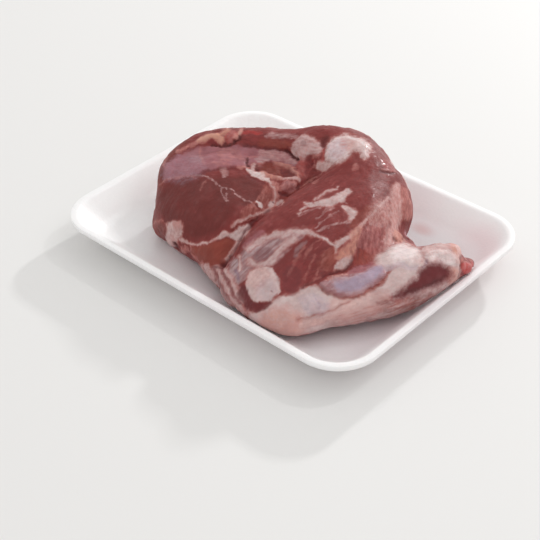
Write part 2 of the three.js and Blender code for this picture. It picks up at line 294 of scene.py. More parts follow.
foam = bpy.data.materials.new("pressed_foam")
foam.use_nodes = True
foam_shader = foam.node_tree.nodes["Principled BSDF"]
wire = Wire(foam.node_tree)
place = wire.node("ShaderNodeTexCoord", None, None, "Object")
beads = wire.node("ShaderNodeTexVoronoi", None, {"Vector": place, "Scale": 1 / BEAD_SIZE}, "Distance")
grain = wire.noise(place, 900, 2.0)
cloud = wire.noise(place, 22, 3.0)

# Painted pink shade lies on the floor round the joint; meat juice left a faint smear by the back wall
JOINT_MIDDLE = (0.030, 0.000, 0.0)
JOINT_REACH = (1 / 0.170, 1 / 0.125, 6.0)
# The far right corner's inner wall, turned from the key light, gets painted pink shade
CORNER_SHADE_MIDDLE = (0.128, 0.075, 0.012)
CORNER_SHADE_REACH = (1 / 0.045, 1 / 0.080, 1 / 0.016)
SMEAR_MIDDLE = (0.068, 0.084, 0.006)
SMEAR_REACH = (1 / 0.016, 1 / 0.009, 1 / 0.02)


def nearness(middle, reach):
    """1 in the middle of an oval, falling to 0 at its edge."""
    away = wire.node("ShaderNodeVectorMath", {"operation": "SUBTRACT"}, {0: place, 1: middle})
    shares = wire.stretched(away, reach)
    length = wire.node("ShaderNodeVectorMath", {"operation": "LENGTH"}, {0: shares}, "Value")
    return 1 - length


# Painted shade, pinked by the meat, on the floor round the joint
floor_painted_shade = (nearness(JOINT_MIDDLE, JOINT_REACH) + cloud * 0.5 - 0.25).between(-0.15, 0.45)
smear = (nearness(SMEAR_MIDDLE, SMEAR_REACH) + grain * 0.3 - 0.15).between(0.0, 0.9)
# Painted pink shade on the inner wall of the far right corner
corner_painted_shade = (nearness(CORNER_SHADE_MIDDLE, CORNER_SHADE_REACH) + cloud * 0.4 - 0.2).between(-0.1, 0.7)
foam_colour = (floor_painted_shade * 0.70).mixed(FOAM_WHITE, FLOOR_SHADE_TINT)
foam_colour = (corner_painted_shade * 0.75).mixed(foam_colour, CORNER_SHADE_TINT)
foam_colour = (smear * 0.45).mixed(foam_colour, SMEAR_COLOUR)
foam_colour = (beads.between(0.25, 0.8) * 0.05).mixed(foam_colour, BEAD_SHADE)
foam.node_tree.links.new(foam_colour.socket, foam_shader.inputs["Base Color"])
foam_rough = FOAM_ROUGHNESS + grain * 0.12
foam.node_tree.links.new(foam_rough.socket, foam_shader.inputs["Roughness"])
foam_relief = wire.node(
    "ShaderNodeBump",
    None,
    {"Height": beads * -0.8 + grain * 0.3, "Strength": 0.22, "Distance": BEAD_DEPTH},
)
foam.node_tree.links.new(foam_relief.socket, foam_shader.inputs["Normal"])
foam_shader.inputs["Subsurface Weight"].default_value = 0.65
foam_shader.inputs["Subsurface Radius"].default_value = (0.012, 0.011, 0.011)
foam_shader.inputs["Subsurface Scale"].default_value = 1.0
tray.data.materials.append(foam)
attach(tray, "root")
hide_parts("foam_tray")


# The joint of meat
# A raw shoulder of lamb on the bone, boned side up: a dark left lean muscle, the long arm muscle
# beside it, a flap rolled along the back, and the shank with its fat folded along the right.
# Its flesh is one piece, cut and trimmed with a knife, moist all over and wet in the folds.
MEAT_MERGE = 0.00001
MEAT_LEVELS = 2
MILLIMETRES = 1000.0

flesh_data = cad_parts["shoulder_meat"].data.copy()
flesh_data.name = "shoulder_flesh"
flesh = bpy.data.objects.new("shoulder_flesh", flesh_data)
bpy.context.scene.collection.objects.link(flesh)
bpy.ops.object.select_all(action="DESELECT")
flesh.select_set(True)
bpy.context.view_layer.objects.active = flesh
bpy.ops.object.mode_set(mode="EDIT")
bpy.ops.mesh.select_all(action="SELECT")
bpy.ops.mesh.remove_doubles(threshold=MEAT_MERGE)
bpy.ops.mesh.tris_convert_to_quads(
    face_threshold=math.radians(50), shape_threshold=math.radians(60)
)
bpy.ops.object.mode_set(mode="OBJECT")
bpy.ops.object.modifier_add(type="SMOOTH")
flesh.modifiers["Smooth"].factor = 0.5
flesh.modifiers["Smooth"].iterations = 2
bpy.ops.object.modifier_apply(modifier="Smooth")
bpy.ops.object.modifier_add(type="SUBSURF")
flesh.modifiers["Subdivision"].levels = MEAT_LEVELS
flesh.modifiers["Subdivision"].render_levels = MEAT_LEVELS
bpy.ops.object.modifier_apply(modifier="Subdivision")
bpy.ops.object.shade_smooth()


def mesh_array(owner, name, width, kind=np.float32):
    """One value, or width values, of each item of a mesh as rows."""
    values = np.zeros(len(owner) * width, kind)
    owner.foreach_get(name, values)
    return values.reshape(-1, width)


points = mesh_array(flesh.data.vertices, "co", 3).astype(float)
normals = mesh_array(flesh.data.vertices, "normal", 3).astype(float)
edges = mesh_array(flesh.data.edges, "vertices", 2, np.int32)
valence = np.bincount(edges.ravel(), minlength=len(points)).astype(float)


def spread(values, rounds):
    """Values at the points, each drawn to the middle of its neighbours' some rounds over."""
    for _ in range(rounds):
        total = np.zeros(len(points))
        np.add.at(total, edges[:, 0], values[edges[:, 1]])
        np.add.at(total, edges[:, 1], values[edges[:, 0]])
        values = (values + total) / (valence + 1)
    return values


def soft_step(values, low, high):
    share = np.clip((values - low) / (high - low), 0, 1)
    return share * share * (3 - 2 * share)


def field(scale_mm, seed, squeeze=(1, 1, 1), octaves=3):
    """Smooth noise of about -1 to 1 at every point, with lumps of the given size."""
    shift = Vector((seed * 17.3, seed * -9.1, seed * 5.7))
    rows = points * MILLIMETRES * np.array(squeeze) / scale_mm
    return np.array([noise.fractal(Vector(row) + shift, 0.8, 2.0, octaves) for row in rows])


# Where each point of the meat shows in the photograph, and whether it does
away = points - np.array(CAMERA_PLACE)
depth = away @ np.array(CAMERA_FORWARD)
column = PHOTO_SIDE / 2 + PHOTO_FOCAL * (away @ np.array(camera_right)) / depth
row = PHOTO_SIDE / 2 - PHOTO_FOCAL * (away @ np.array(camera_up)) / depth
facing = -(normals * away).sum(axis=1) / np.linalg.norm(away, axis=1)
tree = bvhtree.BVHTree.FromPolygons(
    [Vector(p) for p in points], [tuple(f.vertices) for f in flesh.data.polygons]
)
START_OFF = 0.0008
shown = np.zeros(len(points))
for n in np.nonzero(facing > 0.02)[0]:
    start = Vector(points[n] + normals[n] * START_OFF)
    towards = (CAMERA_PLACE - start).normalized()
    shown[n] = tree.ray_cast(start, towards)[0] is None
seen = spread(shown * soft_step(facing, 0.02, 0.16), 3)

# Knife marks and torn edges wander a little, so the photograph's places are read through a wobble
WANDER_PIXELS = 1.9
WANDER_MM = 6.5
NOTCH_PIXELS = 0.6
NOTCH_MM = 2.6
wobbled_column = column + WANDER_PIXELS * field(WANDER_MM, 1) + NOTCH_PIXELS * field(NOTCH_MM, 11)
wobbled_row = row + WANDER_PIXELS * field(WANDER_MM, 2) + NOTCH_PIXELS * field(NOTCH_MM, 12)


def rounded(path, closed, cuts=2):
    """A path with its corners cut off once or more."""
    path = [np.array(p, float) for p in path]
    for _ in range(cuts):
        ends = path + path[:1] if closed else path
        cut = []
        for a, b in zip(ends, ends[1:]):
            cut += [a * 0.75 + b * 0.25, a * 0.25 + b * 0.75]
        path = cut if closed else [path[0], *cut, path[-1]]
    return path


def distance_to_path(path):
    """Pixels from every point to a path in the photograph."""
    least = np.full(len(points), np.inf)
    for a, b in zip(path, path[1:]):
        dx, dy = b - a
        share = ((wobbled_column - a[0]) * dx + (wobbled_row - a[1]) * dy) / (dx * dx + dy * dy + 1e-9)
        share = np.clip(share, 0, 1)
        least = np.minimum(
            least, np.hypot(wobbled_column - a[0] - share * dx, wobbled_row - a[1] - share * dy)
        )
    return least


def inside_outline(outline):
    """True for the points that lie within a closed outline in the photograph."""
    inside = np.zeros(len(points), bool)
    for (ax, ay), (bx, by) in zip(outline, outline[1:] + outline[:1]):
        spans = (ay > wobbled_row) != (by > wobbled_row)
        crossing = ax + (wobbled_row - ay) * (bx - ax) / (by - ay if by != ay else 1e-9)
        inside ^= spans & (wobbled_column < crossing)
    return inside


TISSUES = (
    "deep", "rust", "membrane", "rose", "veil", "fat", "amber", "lilac", "pearl", "flush", "blood",
    "wine", "dark", "glaze", "crinkle",
)
EDGE_REACH = 2.5
FAR_OFF = 1000
WELL_SEEN = 0.4
tissue = {name: np.full(len(points), -EDGE_REACH) for name in TISSUES}
rise = np.zeros(len(points))


def lay(inward, softness, amounts):
    """Lays tissues inside an edge. A value of -1 is bare and 1 is covered, so a thin one stops short."""
    for name, amount in amounts.items():
        limit = -2 * math.sin(math.asin(1 - 2 * amount) / 3) if amount < 1 else EDGE_REACH
        value = np.clip(inward / softness, -EDGE_REACH, limit)
        value = (value + EDGE_REACH) * seen - EDGE_REACH
        tissue[name] = np.maximum(tissue[name], value)


def patch(outline, softness=1.3, lift=0.0, cuts=2, **amounts):
    """A patch of tissue within an outline; lift raises it, in millimetres."""
    outline = rounded(outline, True, cuts)
    away_from_edge = distance_to_path(outline + outline[:1])
    inward = np.where(inside_outline(outline), away_from_edge, -away_from_edge)
    lay(inward, softness, amounts)
    global rise
    rise = rise + lift * soft_step(inward, -1.0, 3.0) * seen


def strip(path, width, lift=0.0, softness=1.0, **amounts):
    """A line of tissue; lift raises it, or sinks it where it is below zero, in millimetres."""
    path = rounded(path, False)
    off = distance_to_path(path)
    lay(width / 2 - off, softness, amounts)
    global rise
    rise = rise + lift * np.exp(-((off / (width * 0.62)) ** 2)) * seen


def swell(place, radius, height):
    """A broad rise round a place in the photograph, or a dip below zero, in millimetres."""
    off_place = np.hypot(column - place[0], row - place[1])
    middle = points[np.argmin(off_place + FAR_OFF * (seen < WELL_SEEN))]
    off = np.linalg.norm(points - middle, axis=1) * MILLIMETRES
    global rise
    rise = rise + height * np.exp(-((off / radius) ** 2))


# The flap rolled along the back, with the cream fold on it and the gap under it laid dark with painted
# shade
FLAP_RIM = [
    (157, 192), (159, 170), (165, 156), (176, 145), (190, 136), (184, 147), (173, 157), (166, 168),
    (161, 186),
]
patch(FLAP_RIM, softness=2.5, deep=0.5, rust=0.3)
RIM_STRAND = [(163, 167), (164, 158), (168, 155), (167, 161), (165, 168)]
patch(RIM_STRAND, lift=0.4, rose=0.7)
FOLD_TAIL = [(176, 153), (186, 147), (194, 144), (201, 142)]
strip(FOLD_TAIL, 3.0, lift=0.6, softness=1.6, rose=0.7)
CREAM_FOLD = [
    (197, 144), (199, 139), (205, 135), (212, 133), (219, 133), (223, 137), (224, 142), (221, 144),
    (217, 140), (213, 138), (208, 139), (204, 142),
]
patch(CREAM_FOLD, lift=1.3, softness=1.5, amber=1.0)
# The hollow under the fold is sunk and laid dark red: partly dark lean, partly painted shade
FOLD_CAVITY = [(207, 141), (212, 140), (216, 142), (219, 145), (212, 146), (207, 144)]
patch(FOLD_CAVITY, lift=-1.4, blood=0.5, wine=0.6)
RED_LOBE = [(224, 141), (225, 136), (229, 132), (235, 132), (238, 136), (236, 141), (230, 144)]
patch(RED_LOBE, lift=1.4, softness=2.0, rose=0.35, blood=0.35)
LOBE_CREAM = [(220, 133), (225, 129), (231, 130), (227, 134), (223, 136)]
patch(LOBE_CREAM, lift=0.4, softness=1.6, amber=0.6)
LOBE_TIP = [(241, 130), (239, 133), (236, 138)]
strip(LOBE_TIP, 2.6, lift=0.5, softness=1.4, fat=0.6, amber=0.5)
# The crease under the red lobe is laid near black: painted shade
LOBE_CREASE = [(212, 145), (220, 146), (229, 145), (235, 142), (240, 139), (239, 136)]
strip(LOBE_CREASE, 1.6, lift=-1.9, softness=1.5, wine=0.8, dark=0.55)
BAR_BLOOD = [(243, 132), (252, 132), (260, 134)]
strip(BAR_BLOOD, 2.4, lift=-0.4, softness=1.8, blood=0.6)
# The crease and gap under the bar are laid dark: partly dark lean, and the near black in the gap is
# painted shade
BAR_CREASE = [(243, 145), (255, 147), (268, 149), (280, 150), (287, 152)]
strip(BAR_CREASE, 1.4, lift=-1.2, softness=1.8, wine=0.7)
BAR_GAP = [(284, 151), (291, 154), (297, 158)]
strip(BAR_GAP, 2.0, lift=-1.8, softness=1.6, wine=0.9, dark=0.5)
BAR_SHEEN = [(264, 137), (270, 134), (282, 134), (296, 135), (301, 138), (292, 138), (280, 137)]
patch(BAR_SHEEN, softness=2.6, lift=0.4, rose=0.4, veil=0.3)
BAR_SHADE = [(256, 142), (268, 140), (284, 141), (291, 144), (288, 148), (274, 147), (262, 145)]
patch(BAR_SHADE, softness=3.0, lift=0.4, rust=0.6)

# The mauve membrane over the muscle behind, tan at its right end, with small pits along its foot
MEMBRANE = [
    (163, 179), (165, 168), (170, 161), (178, 156), (186, 151), (196, 148), (210, 146), (222, 147),
    (232, 146), (240, 144), (250, 147), (262, 149), (276, 151), (288, 154), (296, 160), (298, 165),
    (290, 166), (284, 163), (274, 161), (264, 162), (258, 165), (248, 165), (236, 167), (226, 166),
    (214, 169), (204, 171), (196, 175), (184, 178), (172, 179),
]
patch(MEMBRANE, softness=2.4, lift=0.3, membrane=1.0)
MEMBRANE_END = [
    (258, 150), (276, 152), (288, 155), (296, 160), (297, 164), (290, 163), (280, 160), (268, 158),
    (260, 155),
]
patch(MEMBRANE_END, softness=2.4, lift=0.4, rose=0.6, veil=0.3)
MEMBRANE_HAZE = [(262, 156), (272, 158), (268, 161), (260, 163), (254, 160)]
patch(MEMBRANE_HAZE, softness=2.0, veil=0.5, rose=0.4)
MEMBRANE_RED = [(242, 153), (250, 151), (258, 153), (256, 157), (246, 158)]
patch(MEMBRANE_RED, softness=2.4, lift=-0.4, rust=0.6)
MEMBRANE_ROSY = [(218, 150), (232, 149), (240, 152), (240, 158), (226, 160), (218, 157)]
patch(MEMBRANE_ROSY, softness=3.0, rose=0.3)
MEMBRANE_GLOSS = [(185, 153), (193, 150), (200, 155), (201, 162), (193, 161), (187, 158)]
patch(MEMBRANE_GLOSS, softness=4.5, lift=0.3, glaze=0.8)
MEMBRANE_MAUVE = [
    (168, 166), (178, 161), (190, 162), (200, 165), (198, 171), (188, 176), (174, 177), (166, 175),
]
patch(MEMBRANE_MAUVE, softness=10.0, lilac=0.16)
MEMBRANE_LINES = (
    [(200, 148), (201, 156), (204, 164)],
    [(221, 150), (222, 158), (219, 165)],
    [(214, 163), (222, 163), (230, 165)],
    [(238, 160), (246, 159), (256, 156), (268, 153)],
)
for line in MEMBRANE_LINES:
    strip(line, 1.0, lift=0.3, softness=1.6, rose=0.35)
# The pits are sunk and laid near black: painted shade in them
for pit in ([(247, 160), (248, 166)], [(257, 167), (259, 169)]):
    strip(pit, 2.0, lift=-1.2, softness=1.6, wine=0.7, dark=0.3)
PIT_RIM = [(250, 166), (255, 165), (256, 168), (253, 170)]
patch(PIT_RIM, lift=0.5, fat=0.55)
MEMBRANE_FOOT = [(238, 167), (244, 167), (248, 168)]
strip(MEMBRANE_FOOT, 1.8, lift=0.4, softness=1.4, rose=0.7)
LEFT_TOP_EDGE = [(160, 184), (165, 180), (175, 178), (188, 177), (198, 176)]
strip(LEFT_TOP_EDGE, 1.2, lift=0.5, softness=1.8, rose=0.5)
LEFT_TOP_CREASE = [(198, 176), (204, 172), (214, 170), (226, 168), (236, 169)]
strip(LEFT_TOP_CREASE, 2.0, lift=-0.8, softness=1.8, wine=0.35)

# The dark left lean muscle, with its branching vein and the pale edge round it
LEFT_DARK = [
    (158, 190), (172, 181), (196, 179), (214, 182), (224, 196), (236, 206), (226, 222), (205, 238),
    (180, 235), (165, 222), (156, 208),
]
patch(LEFT_DARK, softness=7.0, deep=0.75)
LEFT_UPPER = [
    (206, 180), (222, 176), (244, 176), (262, 183), (266, 194), (260, 204), (240, 206), (222, 204),
    (212, 192),
]
patch(LEFT_UPPER, softness=4.0, deep=0.85)
VEIN = [
    (196, 175), (203, 176), (209, 178), (213, 180), (217, 185), (221, 189), (226, 188), (231, 190),
    (237, 195), (244, 198), (249, 201), (252, 204),
]
strip(VEIN, 0.8, lift=0.3, softness=1.1, rose=0.65, veil=0.4)
VEIN_LOOP = [(220, 189), (222, 195), (226, 200), (230, 202), (227, 197), (226, 193)]
strip(VEIN_LOOP, 0.6, lift=0.2, softness=1.1, rose=0.5, veil=0.35)
VEIN_SIDE = [(206, 180), (202, 185), (200, 190)]
strip(VEIN_SIDE, 0.6, softness=1.4, rose=0.35)
VEIN_HAZE = [(221, 168), (225, 167), (228, 171), (226, 176), (222, 174)]
patch(VEIN_HAZE, softness=2.4, rose=0.5, veil=0.3)
VEIN_END = [(254, 200), (258, 200), (262, 203), (263, 207), (260, 207), (257, 204)]
patch(VEIN_END, softness=0.9, lift=0.6, fat=1.0, pearl=0.35)
VEIN_PIT = [(255, 205), (257, 207)]
strip(VEIN_PIT, 1.6, lift=-0.7, softness=1.0, wine=0.9)
LEFT_ROSY_END = [
    (250, 206), (262, 196), (268, 184), (273, 194), (270, 206), (258, 213), (242, 218), (240, 214),
]
patch(LEFT_ROSY_END, softness=3.0, lift=0.4, rose=0.25, rust=0.4)
PALE_STRIP = [
    (245, 169), (250, 170), (257, 171), (263, 174), (269, 178), (271, 182), (266, 181), (260, 178),
    (253, 176), (248, 174),
]
patch(PALE_STRIP, softness=1.0, lift=0.8, fat=0.9, pearl=0.2)
PALE_STRIP_FOOT = [(247, 176), (256, 180), (264, 183)]
strip(PALE_STRIP_FOOT, 1.6, lift=-0.6, softness=1.6, wine=0.4)

# The wet red strands and the small round muscle in the middle
RED_POOL = [
    (262, 167), (267, 163), (273, 162), (280, 165), (288, 167), (294, 171), (297, 176), (290, 177),
    (282, 176), (276, 174), (268, 173), (263, 171),
]
patch(RED_POOL, softness=1.8, lift=-0.9, rust=0.9, wine=0.35)
POOL_LEFT = [(264, 171), (270, 169), (277, 172), (276, 175), (269, 174)]
patch(POOL_LEFT, softness=1.6, lift=-0.4, rust=0.6, rose=0.25)
POOL_DARK = [(280, 169), (286, 168), (292, 171), (295, 175), (288, 176), (282, 174)]
patch(POOL_DARK, softness=1.6, lift=-0.6, wine=0.75)
POOL_RIDGE = [(274, 165), (278, 168), (280, 172)]
strip(POOL_RIDGE, 1.4, lift=0.5, softness=1.6, rust=0.5, rose=0.3)
UPPER_STRAND = [(276, 163), (283, 165), (290, 167), (296, 172), (300, 178)]
strip(UPPER_STRAND, 2.4, lift=1.0, softness=1.5, amber=0.3, rose=0.7)
LEFT_STRAND = [(257, 166), (261, 164), (266, 161)]
strip(LEFT_STRAND, 2.0, lift=0.5, softness=1.6, rose=0.6)
LOWER_STRAND = [(262, 173), (268, 175), (274, 178), (280, 178)]
strip(LOWER_STRAND, 2.2, lift=0.8, softness=1.5, rose=0.65, amber=0.3)
CROSS_STRAND = [(280, 178), (287, 179), (294, 178), (300, 181)]
strip(CROSS_STRAND, 1.8, lift=1.0, softness=1.2, fat=0.5, rose=0.75)
TORN_PINK = [(298, 160), (304, 157), (308, 159), (308, 166), (304, 174), (300, 176), (298, 169)]
patch(TORN_PINK, softness=2.4, lift=0.4, rose=0.4, blood=0.35)
TORN_RED = [(304, 159), (311, 156), (315, 160), (313, 167), (307, 175), (303, 180), (306, 169)]
patch(TORN_RED, softness=2.0, lift=-0.8, blood=0.6, wine=0.55)
TORN_STRANDS = (
    [(306, 162), (311, 166), (308, 172)], [(312, 158), (315, 163)], [(300, 168), (304, 172), (305, 178)],
    [(306, 175), (310, 170), (315, 166)],
)
for line in TORN_STRANDS:
    strip(line, 1.4, lift=0.6, softness=1.2, rose=0.7)
TORN_POOL = [(300, 177), (303, 181), (302, 185)]
strip(TORN_POOL, 2.0, lift=-0.9, softness=1.4, blood=0.7, wine=0.5)
SHEATH = [
    (269, 183), (276, 180), (279, 188), (278, 198), (279, 204), (274, 210), (268, 213), (270, 204),
    (273, 196), (272, 188),
]
patch(SHEATH, softness=1.8, lift=0.7, rose=0.8)
SHEATH_EDGE = [(271, 183), (274, 190), (276, 197), (274, 204)]
strip(SHEATH_EDGE, 1.0, lift=0.4, softness=1.2, fat=0.5)
SHEATH_RED = [(265, 184), (269, 192), (269, 200)]
strip(SHEATH_RED, 2.4, softness=2.0, rust=0.6)
SHEATH_FAT = [(270, 200), (275, 200), (275, 205), (271, 209), (268, 206)]
patch(SHEATH_FAT, softness=1.2, lift=0.5, fat=0.7)
SHEATH_PIT = [(273, 201), (275, 203)]
strip(SHEATH_PIT, 1.2, lift=-0.8, wine=0.8)
SHEATH_TIP = [(277, 202), (283, 199), (282, 203), (277, 207)]
patch(SHEATH_TIP, softness=1.0, lift=0.4, fat=0.65)
ROUND_MUSCLE = [(280, 185), (286, 181), (293, 182), (297, 186), (293, 191), (286, 193), (281, 190)]
patch(ROUND_MUSCLE, softness=1.4, lift=1.7, rose=0.35, membrane=0.4)
ROUND_RIM = [(280, 192), (280, 186), (284, 182), (290, 181), (296, 184)]
strip(ROUND_RIM, 1.2, lift=0.3, softness=1.4, rose=0.75)
ROUND_SHADE = [(284, 188), (290, 187)]
strip(ROUND_SHADE, 1.6, softness=1.8, rust=0.5)
ROUND_CREASE = [(280, 194), (286, 196), (292, 195), (298, 190), (299, 185)]
strip(ROUND_CREASE, 1.6, lift=-1.3, softness=1.5, wine=0.85)
SHEATH_LINE = [(272, 211), (266, 214), (258, 218), (248, 222)]
strip(SHEATH_LINE, 1.2, lift=0.4, softness=1.4, rose=0.6)

# The two pale knobs: grey fat, and the cartilage at the end of the blade bone
GREY_KNOB = [
    (291, 149), (295, 142), (299, 137), (305, 135), (312, 137), (318, 141), (322, 146), (321, 152),
    (314, 154), (308, 157), (303, 160), (298, 159), (295, 155),
]
patch(GREY_KNOB, lift=1.3, softness=1.8, fat=0.25, veil=0.8)
GREY_KNOB_PINK = [(298, 152), (306, 150), (316, 152), (320, 155), (312, 158), (303, 161), (297, 158)]
patch(GREY_KNOB_PINK, softness=2.4, rose=0.6)
KNOB_DIMPLE = [(301, 144), (305, 142), (307, 145), (303, 147)]
patch(KNOB_DIMPLE, softness=1.6, lift=-0.7, membrane=0.7, wine=0.3)
GREY_KNOB_EDGE = [(293, 151), (297, 156), (301, 159)]
strip(GREY_KNOB_EDGE, 1.4, lift=0.4, softness=1.4, fat=0.6)
WHITE_KNOB = [
    (326, 152), (328, 145), (332, 141), (337, 138), (342, 136), (347, 135), (353, 137), (359, 139),
    (365, 142), (370, 146), (370, 149), (367, 151), (368, 157), (362, 158), (360, 152), (356, 150),
    (352, 152), (348, 157), (343, 160), (336, 162), (330, 164), (326, 160),
]
patch(WHITE_KNOB, lift=1.8, softness=2.8, fat=0.9, pearl=0.15, rose=0.4)
KNOB_BLUSH = [(329, 150), (333, 144), (340, 142), (347, 146), (346, 153), (339, 158), (331, 160)]
patch(KNOB_BLUSH, softness=3.6, lilac=0.3)
# The knob's back rim is paler cartilage, and its pearl is partly a painted highlight where the key light
# catches it
KNOB_RIM = [(330, 144), (336, 140), (343, 138), (352, 139), (361, 143), (369, 149)]
strip(KNOB_RIM, 2.0, softness=2.4, pearl=0.5)
KNOB_FOOT = [(327, 154), (330, 161), (338, 160), (346, 156)]
strip(KNOB_FOOT, 1.4, softness=1.8, pearl=0.3)
KNOB_ROSY = [(341, 145), (346, 142), (353, 142), (356, 146), (353, 150), (347, 151), (342, 150)]
patch(KNOB_ROSY, softness=3.2, lift=-0.5, flush=0.45)
KNOB_SHINE = [(361, 144), (366, 145), (369, 150), (366, 157), (362, 156), (363, 149)]
patch(KNOB_SHINE, softness=1.6, lift=0.4, glaze=0.7)
# The gap beside the knob and its foot are sunk and laid dark: partly dark lean, partly painted shade
KNOB_GAP = [(321, 137), (326, 135), (329, 138), (326, 143), (324, 149), (321, 147), (320, 142)]
patch(KNOB_GAP, softness=2.6, lift=-1.0, rust=0.5, wine=0.70)
KNOB_GAP_FOOT = [(323, 150), (325, 156), (322, 161)]
strip(KNOB_GAP_FOOT, 1.8, lift=-0.9, softness=2.0, blood=0.45, rust=0.5)
KNOB_SKIN = [
    (316, 170), (318, 164), (323, 160), (328, 164), (336, 163), (330, 167), (322, 170),
]
patch(KNOB_SKIN, lift=0.7, softness=1.6, fat=0.55, rose=0.6)

# The arm muscle's outer end stands proud and wet, and the edge falls away below the flap
WET_BULGE = (376, 205)
swell(WET_BULGE, radius=16, height=3.5)
BELOW_FLAP = (410, 233)
swell(BELOW_FLAP, radius=9, height=-5.5)

# The arm muscle: its seam on the left, its streaks of fat, the silvery skin on its lower part
SEAM_TOP = [(312, 179), (304, 185), (297, 191), (290, 195), (280, 202), (272, 208)]
strip(SEAM_TOP, 1.6, softness=2.4, rust=0.5)
SEAM_FOOT = [
    (269, 210), (258, 219), (248, 227), (243, 234), (239, 243), (234, 252), (229, 260), (222, 265),
]
strip(SEAM_FOOT, 1.6, lift=-1.3, softness=1.8, wine=0.6)
SEAM_THREADS = ([(301, 188), (307, 183), (314, 178), (321, 174)], [(314, 182), (318, 180)])
for line in SEAM_THREADS:
    strip(line, 1.2, softness=1.8, rose=0.6)
LONG_STREAK = [
    (303, 203), (310, 203), (317, 201), (324, 199), (331, 197), (338, 194), (345, 191), (351, 190),
    (352, 192), (348, 196), (343, 200), (337, 204), (330, 207), (322, 207), (315, 205), (308, 206),
]
patch(LONG_STREAK, lift=0.3, softness=1.3, fat=0.7, veil=0.6)
STREAK_TWIN = [(314, 199), (321, 196), (328, 192), (337, 188)]
strip(STREAK_TWIN, 1.2, lift=0.2, softness=1.4, fat=0.4, veil=0.6)
STREAK_TAIL = [(299, 213), (303, 209), (307, 205)]
strip(STREAK_TAIL, 1.0, softness=1.3, fat=0.4, veil=0.5)
HOOK_STREAK = [
    (340, 205), (346, 206), (351, 209), (356, 212), (357, 216), (353, 220), (348, 220), (350, 216),
    (347, 212), (342, 209),
]
patch(HOOK_STREAK, lift=0.3, softness=1.3, fat=0.7, rose=0.4)
FINE_STREAKS = (
    [(352, 221), (343, 222), (334, 225), (326, 228), (316, 231)],
    [(338, 211), (330, 216), (323, 222), (315, 227)],
    [(333, 206), (325, 212), (317, 218)],
    [(336, 196), (341, 199), (347, 203)],
    [(300, 216), (310, 209), (320, 208)],
)
for line in FINE_STREAKS:
    strip(line, 0.8, softness=1.3, rose=0.6, veil=0.3)
ARM_SPOT = [(353, 165), (357, 163), (359, 168), (356, 171), (353, 170)]
patch(ARM_SPOT, softness=2.2, rose=0.5)
SILVERY_SKIN = [
    (240, 262), (243, 253), (247, 246), (254, 241), (262, 238), (272, 235), (280, 232), (290, 230),
    (300, 229), (310, 231), (304, 235), (297, 239), (291, 244), (286, 250), (281, 256), (276, 261),
    (272, 265), (266, 267), (256, 268), (249, 272), (244, 279), (238, 284), (232, 280), (229, 270),
    (230, 262), (235, 258),
]
patch(SILVERY_SKIN, softness=3.4, lift=0.3, veil=0.70)
SKIN_BANDS = (
    [(249, 249), (258, 242), (270, 236), (282, 233)],
    [(284, 236), (292, 232), (302, 231), (311, 233)],
    [(271, 262), (276, 254), (284, 246), (294, 239)],
    [(250, 262), (256, 265), (266, 264), (272, 258)],
)
for line in SKIN_BANDS:
    strip(line, 3.6, softness=2.4, lift=0.3, fat=0.55, veil=0.8)
SKIN_WINDOW = [(254, 260), (257, 253), (263, 248), (271, 247), (272, 253), (266, 260), (259, 264)]
patch(SKIN_WINDOW, softness=2.8, lift=-0.5, membrane=0.5, wine=0.45)
SKIN_TOP_HAZE = [(243, 246), (249, 238), (256, 233), (266, 231), (262, 237), (254, 242), (248, 248)]
patch(SKIN_TOP_HAZE, softness=3.4, membrane=0.5)
SKIN_TENDON = [(239, 256), (241, 262), (240, 270)]
strip(SKIN_TENDON, 2.0, lift=0.7, softness=1.2, fat=0.75)
SKIN_HOLLOW = [(237, 271), (239, 279)]
strip(SKIN_HOLLOW, 2.6, lift=-0.6, softness=2.0, lilac=0.5, wine=0.3)
FAT_LINE = [(308, 234), (315, 235), (322, 237), (328, 240), (334, 244), (336, 249)]
strip(FAT_LINE, 2.2, lift=0.4, softness=1.4, fat=0.75)
LEAN_HAZE = [(296, 254), (299, 248), (305, 242)]
strip(LEAN_HAZE, 3.0, softness=2.5, veil=0.4)

# The dark lean below the streaks, the fat patch over the elbow and the dark crescent under it
DARK_LEAN = [
    (278, 262), (286, 255), (296, 247), (306, 240), (318, 240), (328, 243), (333, 250), (333, 262),
    (330, 272), (322, 278), (312, 280), (303, 284), (302, 290), (294, 294), (284, 293), (280, 286),
    (277, 276), (275, 268),
]
patch(DARK_LEAN, softness=3.0, wine=0.22)
DARK_WINDOW = [(282, 268), (292, 264), (301, 270), (301, 284), (296, 292), (286, 292), (282, 284)]
patch(DARK_WINDOW, softness=4.0, wine=0.6)
DARK_WINDOW_RED = [(282, 284), (290, 282), (297, 285), (293, 291), (285, 291)]
patch(DARK_WINDOW_RED, softness=3.0, blood=0.2)
ELBOW_FAT = [
    (247, 276), (251, 270), (258, 268), (272, 266), (275, 272), (278, 280), (281, 290), (276, 296),
    (271, 301), (261, 302), (251, 300), (248, 291), (246, 284),
]
patch(ELBOW_FAT, lift=0.9, softness=1.1, cuts=1, fat=0.92, veil=0.3)
ELBOW_WARM = [(251, 274), (260, 271), (267, 275), (260, 283), (251, 283)]
patch(ELBOW_WARM, softness=5.0, amber=0.12, pearl=0.2)
ELBOW_GREY = [(258, 288), (268, 281), (276, 288), (270, 298), (260, 298)]
patch(ELBOW_GREY, softness=5.0, veil=0.5, lilac=0.15)
ELBOW_SPOT = [(272, 291), (273, 293)]
strip(ELBOW_SPOT, 1.0, softness=1.0, lift=-0.3, wine=0.5)
CRESCENT = [
    (238, 290), (243, 285), (247, 287), (249, 294), (252, 301), (262, 303), (273, 301), (269, 307),
    (261, 311), (251, 311), (243, 305), (238, 298),
]
patch(CRESCENT, softness=1.8, lift=-0.6, wine=0.85)

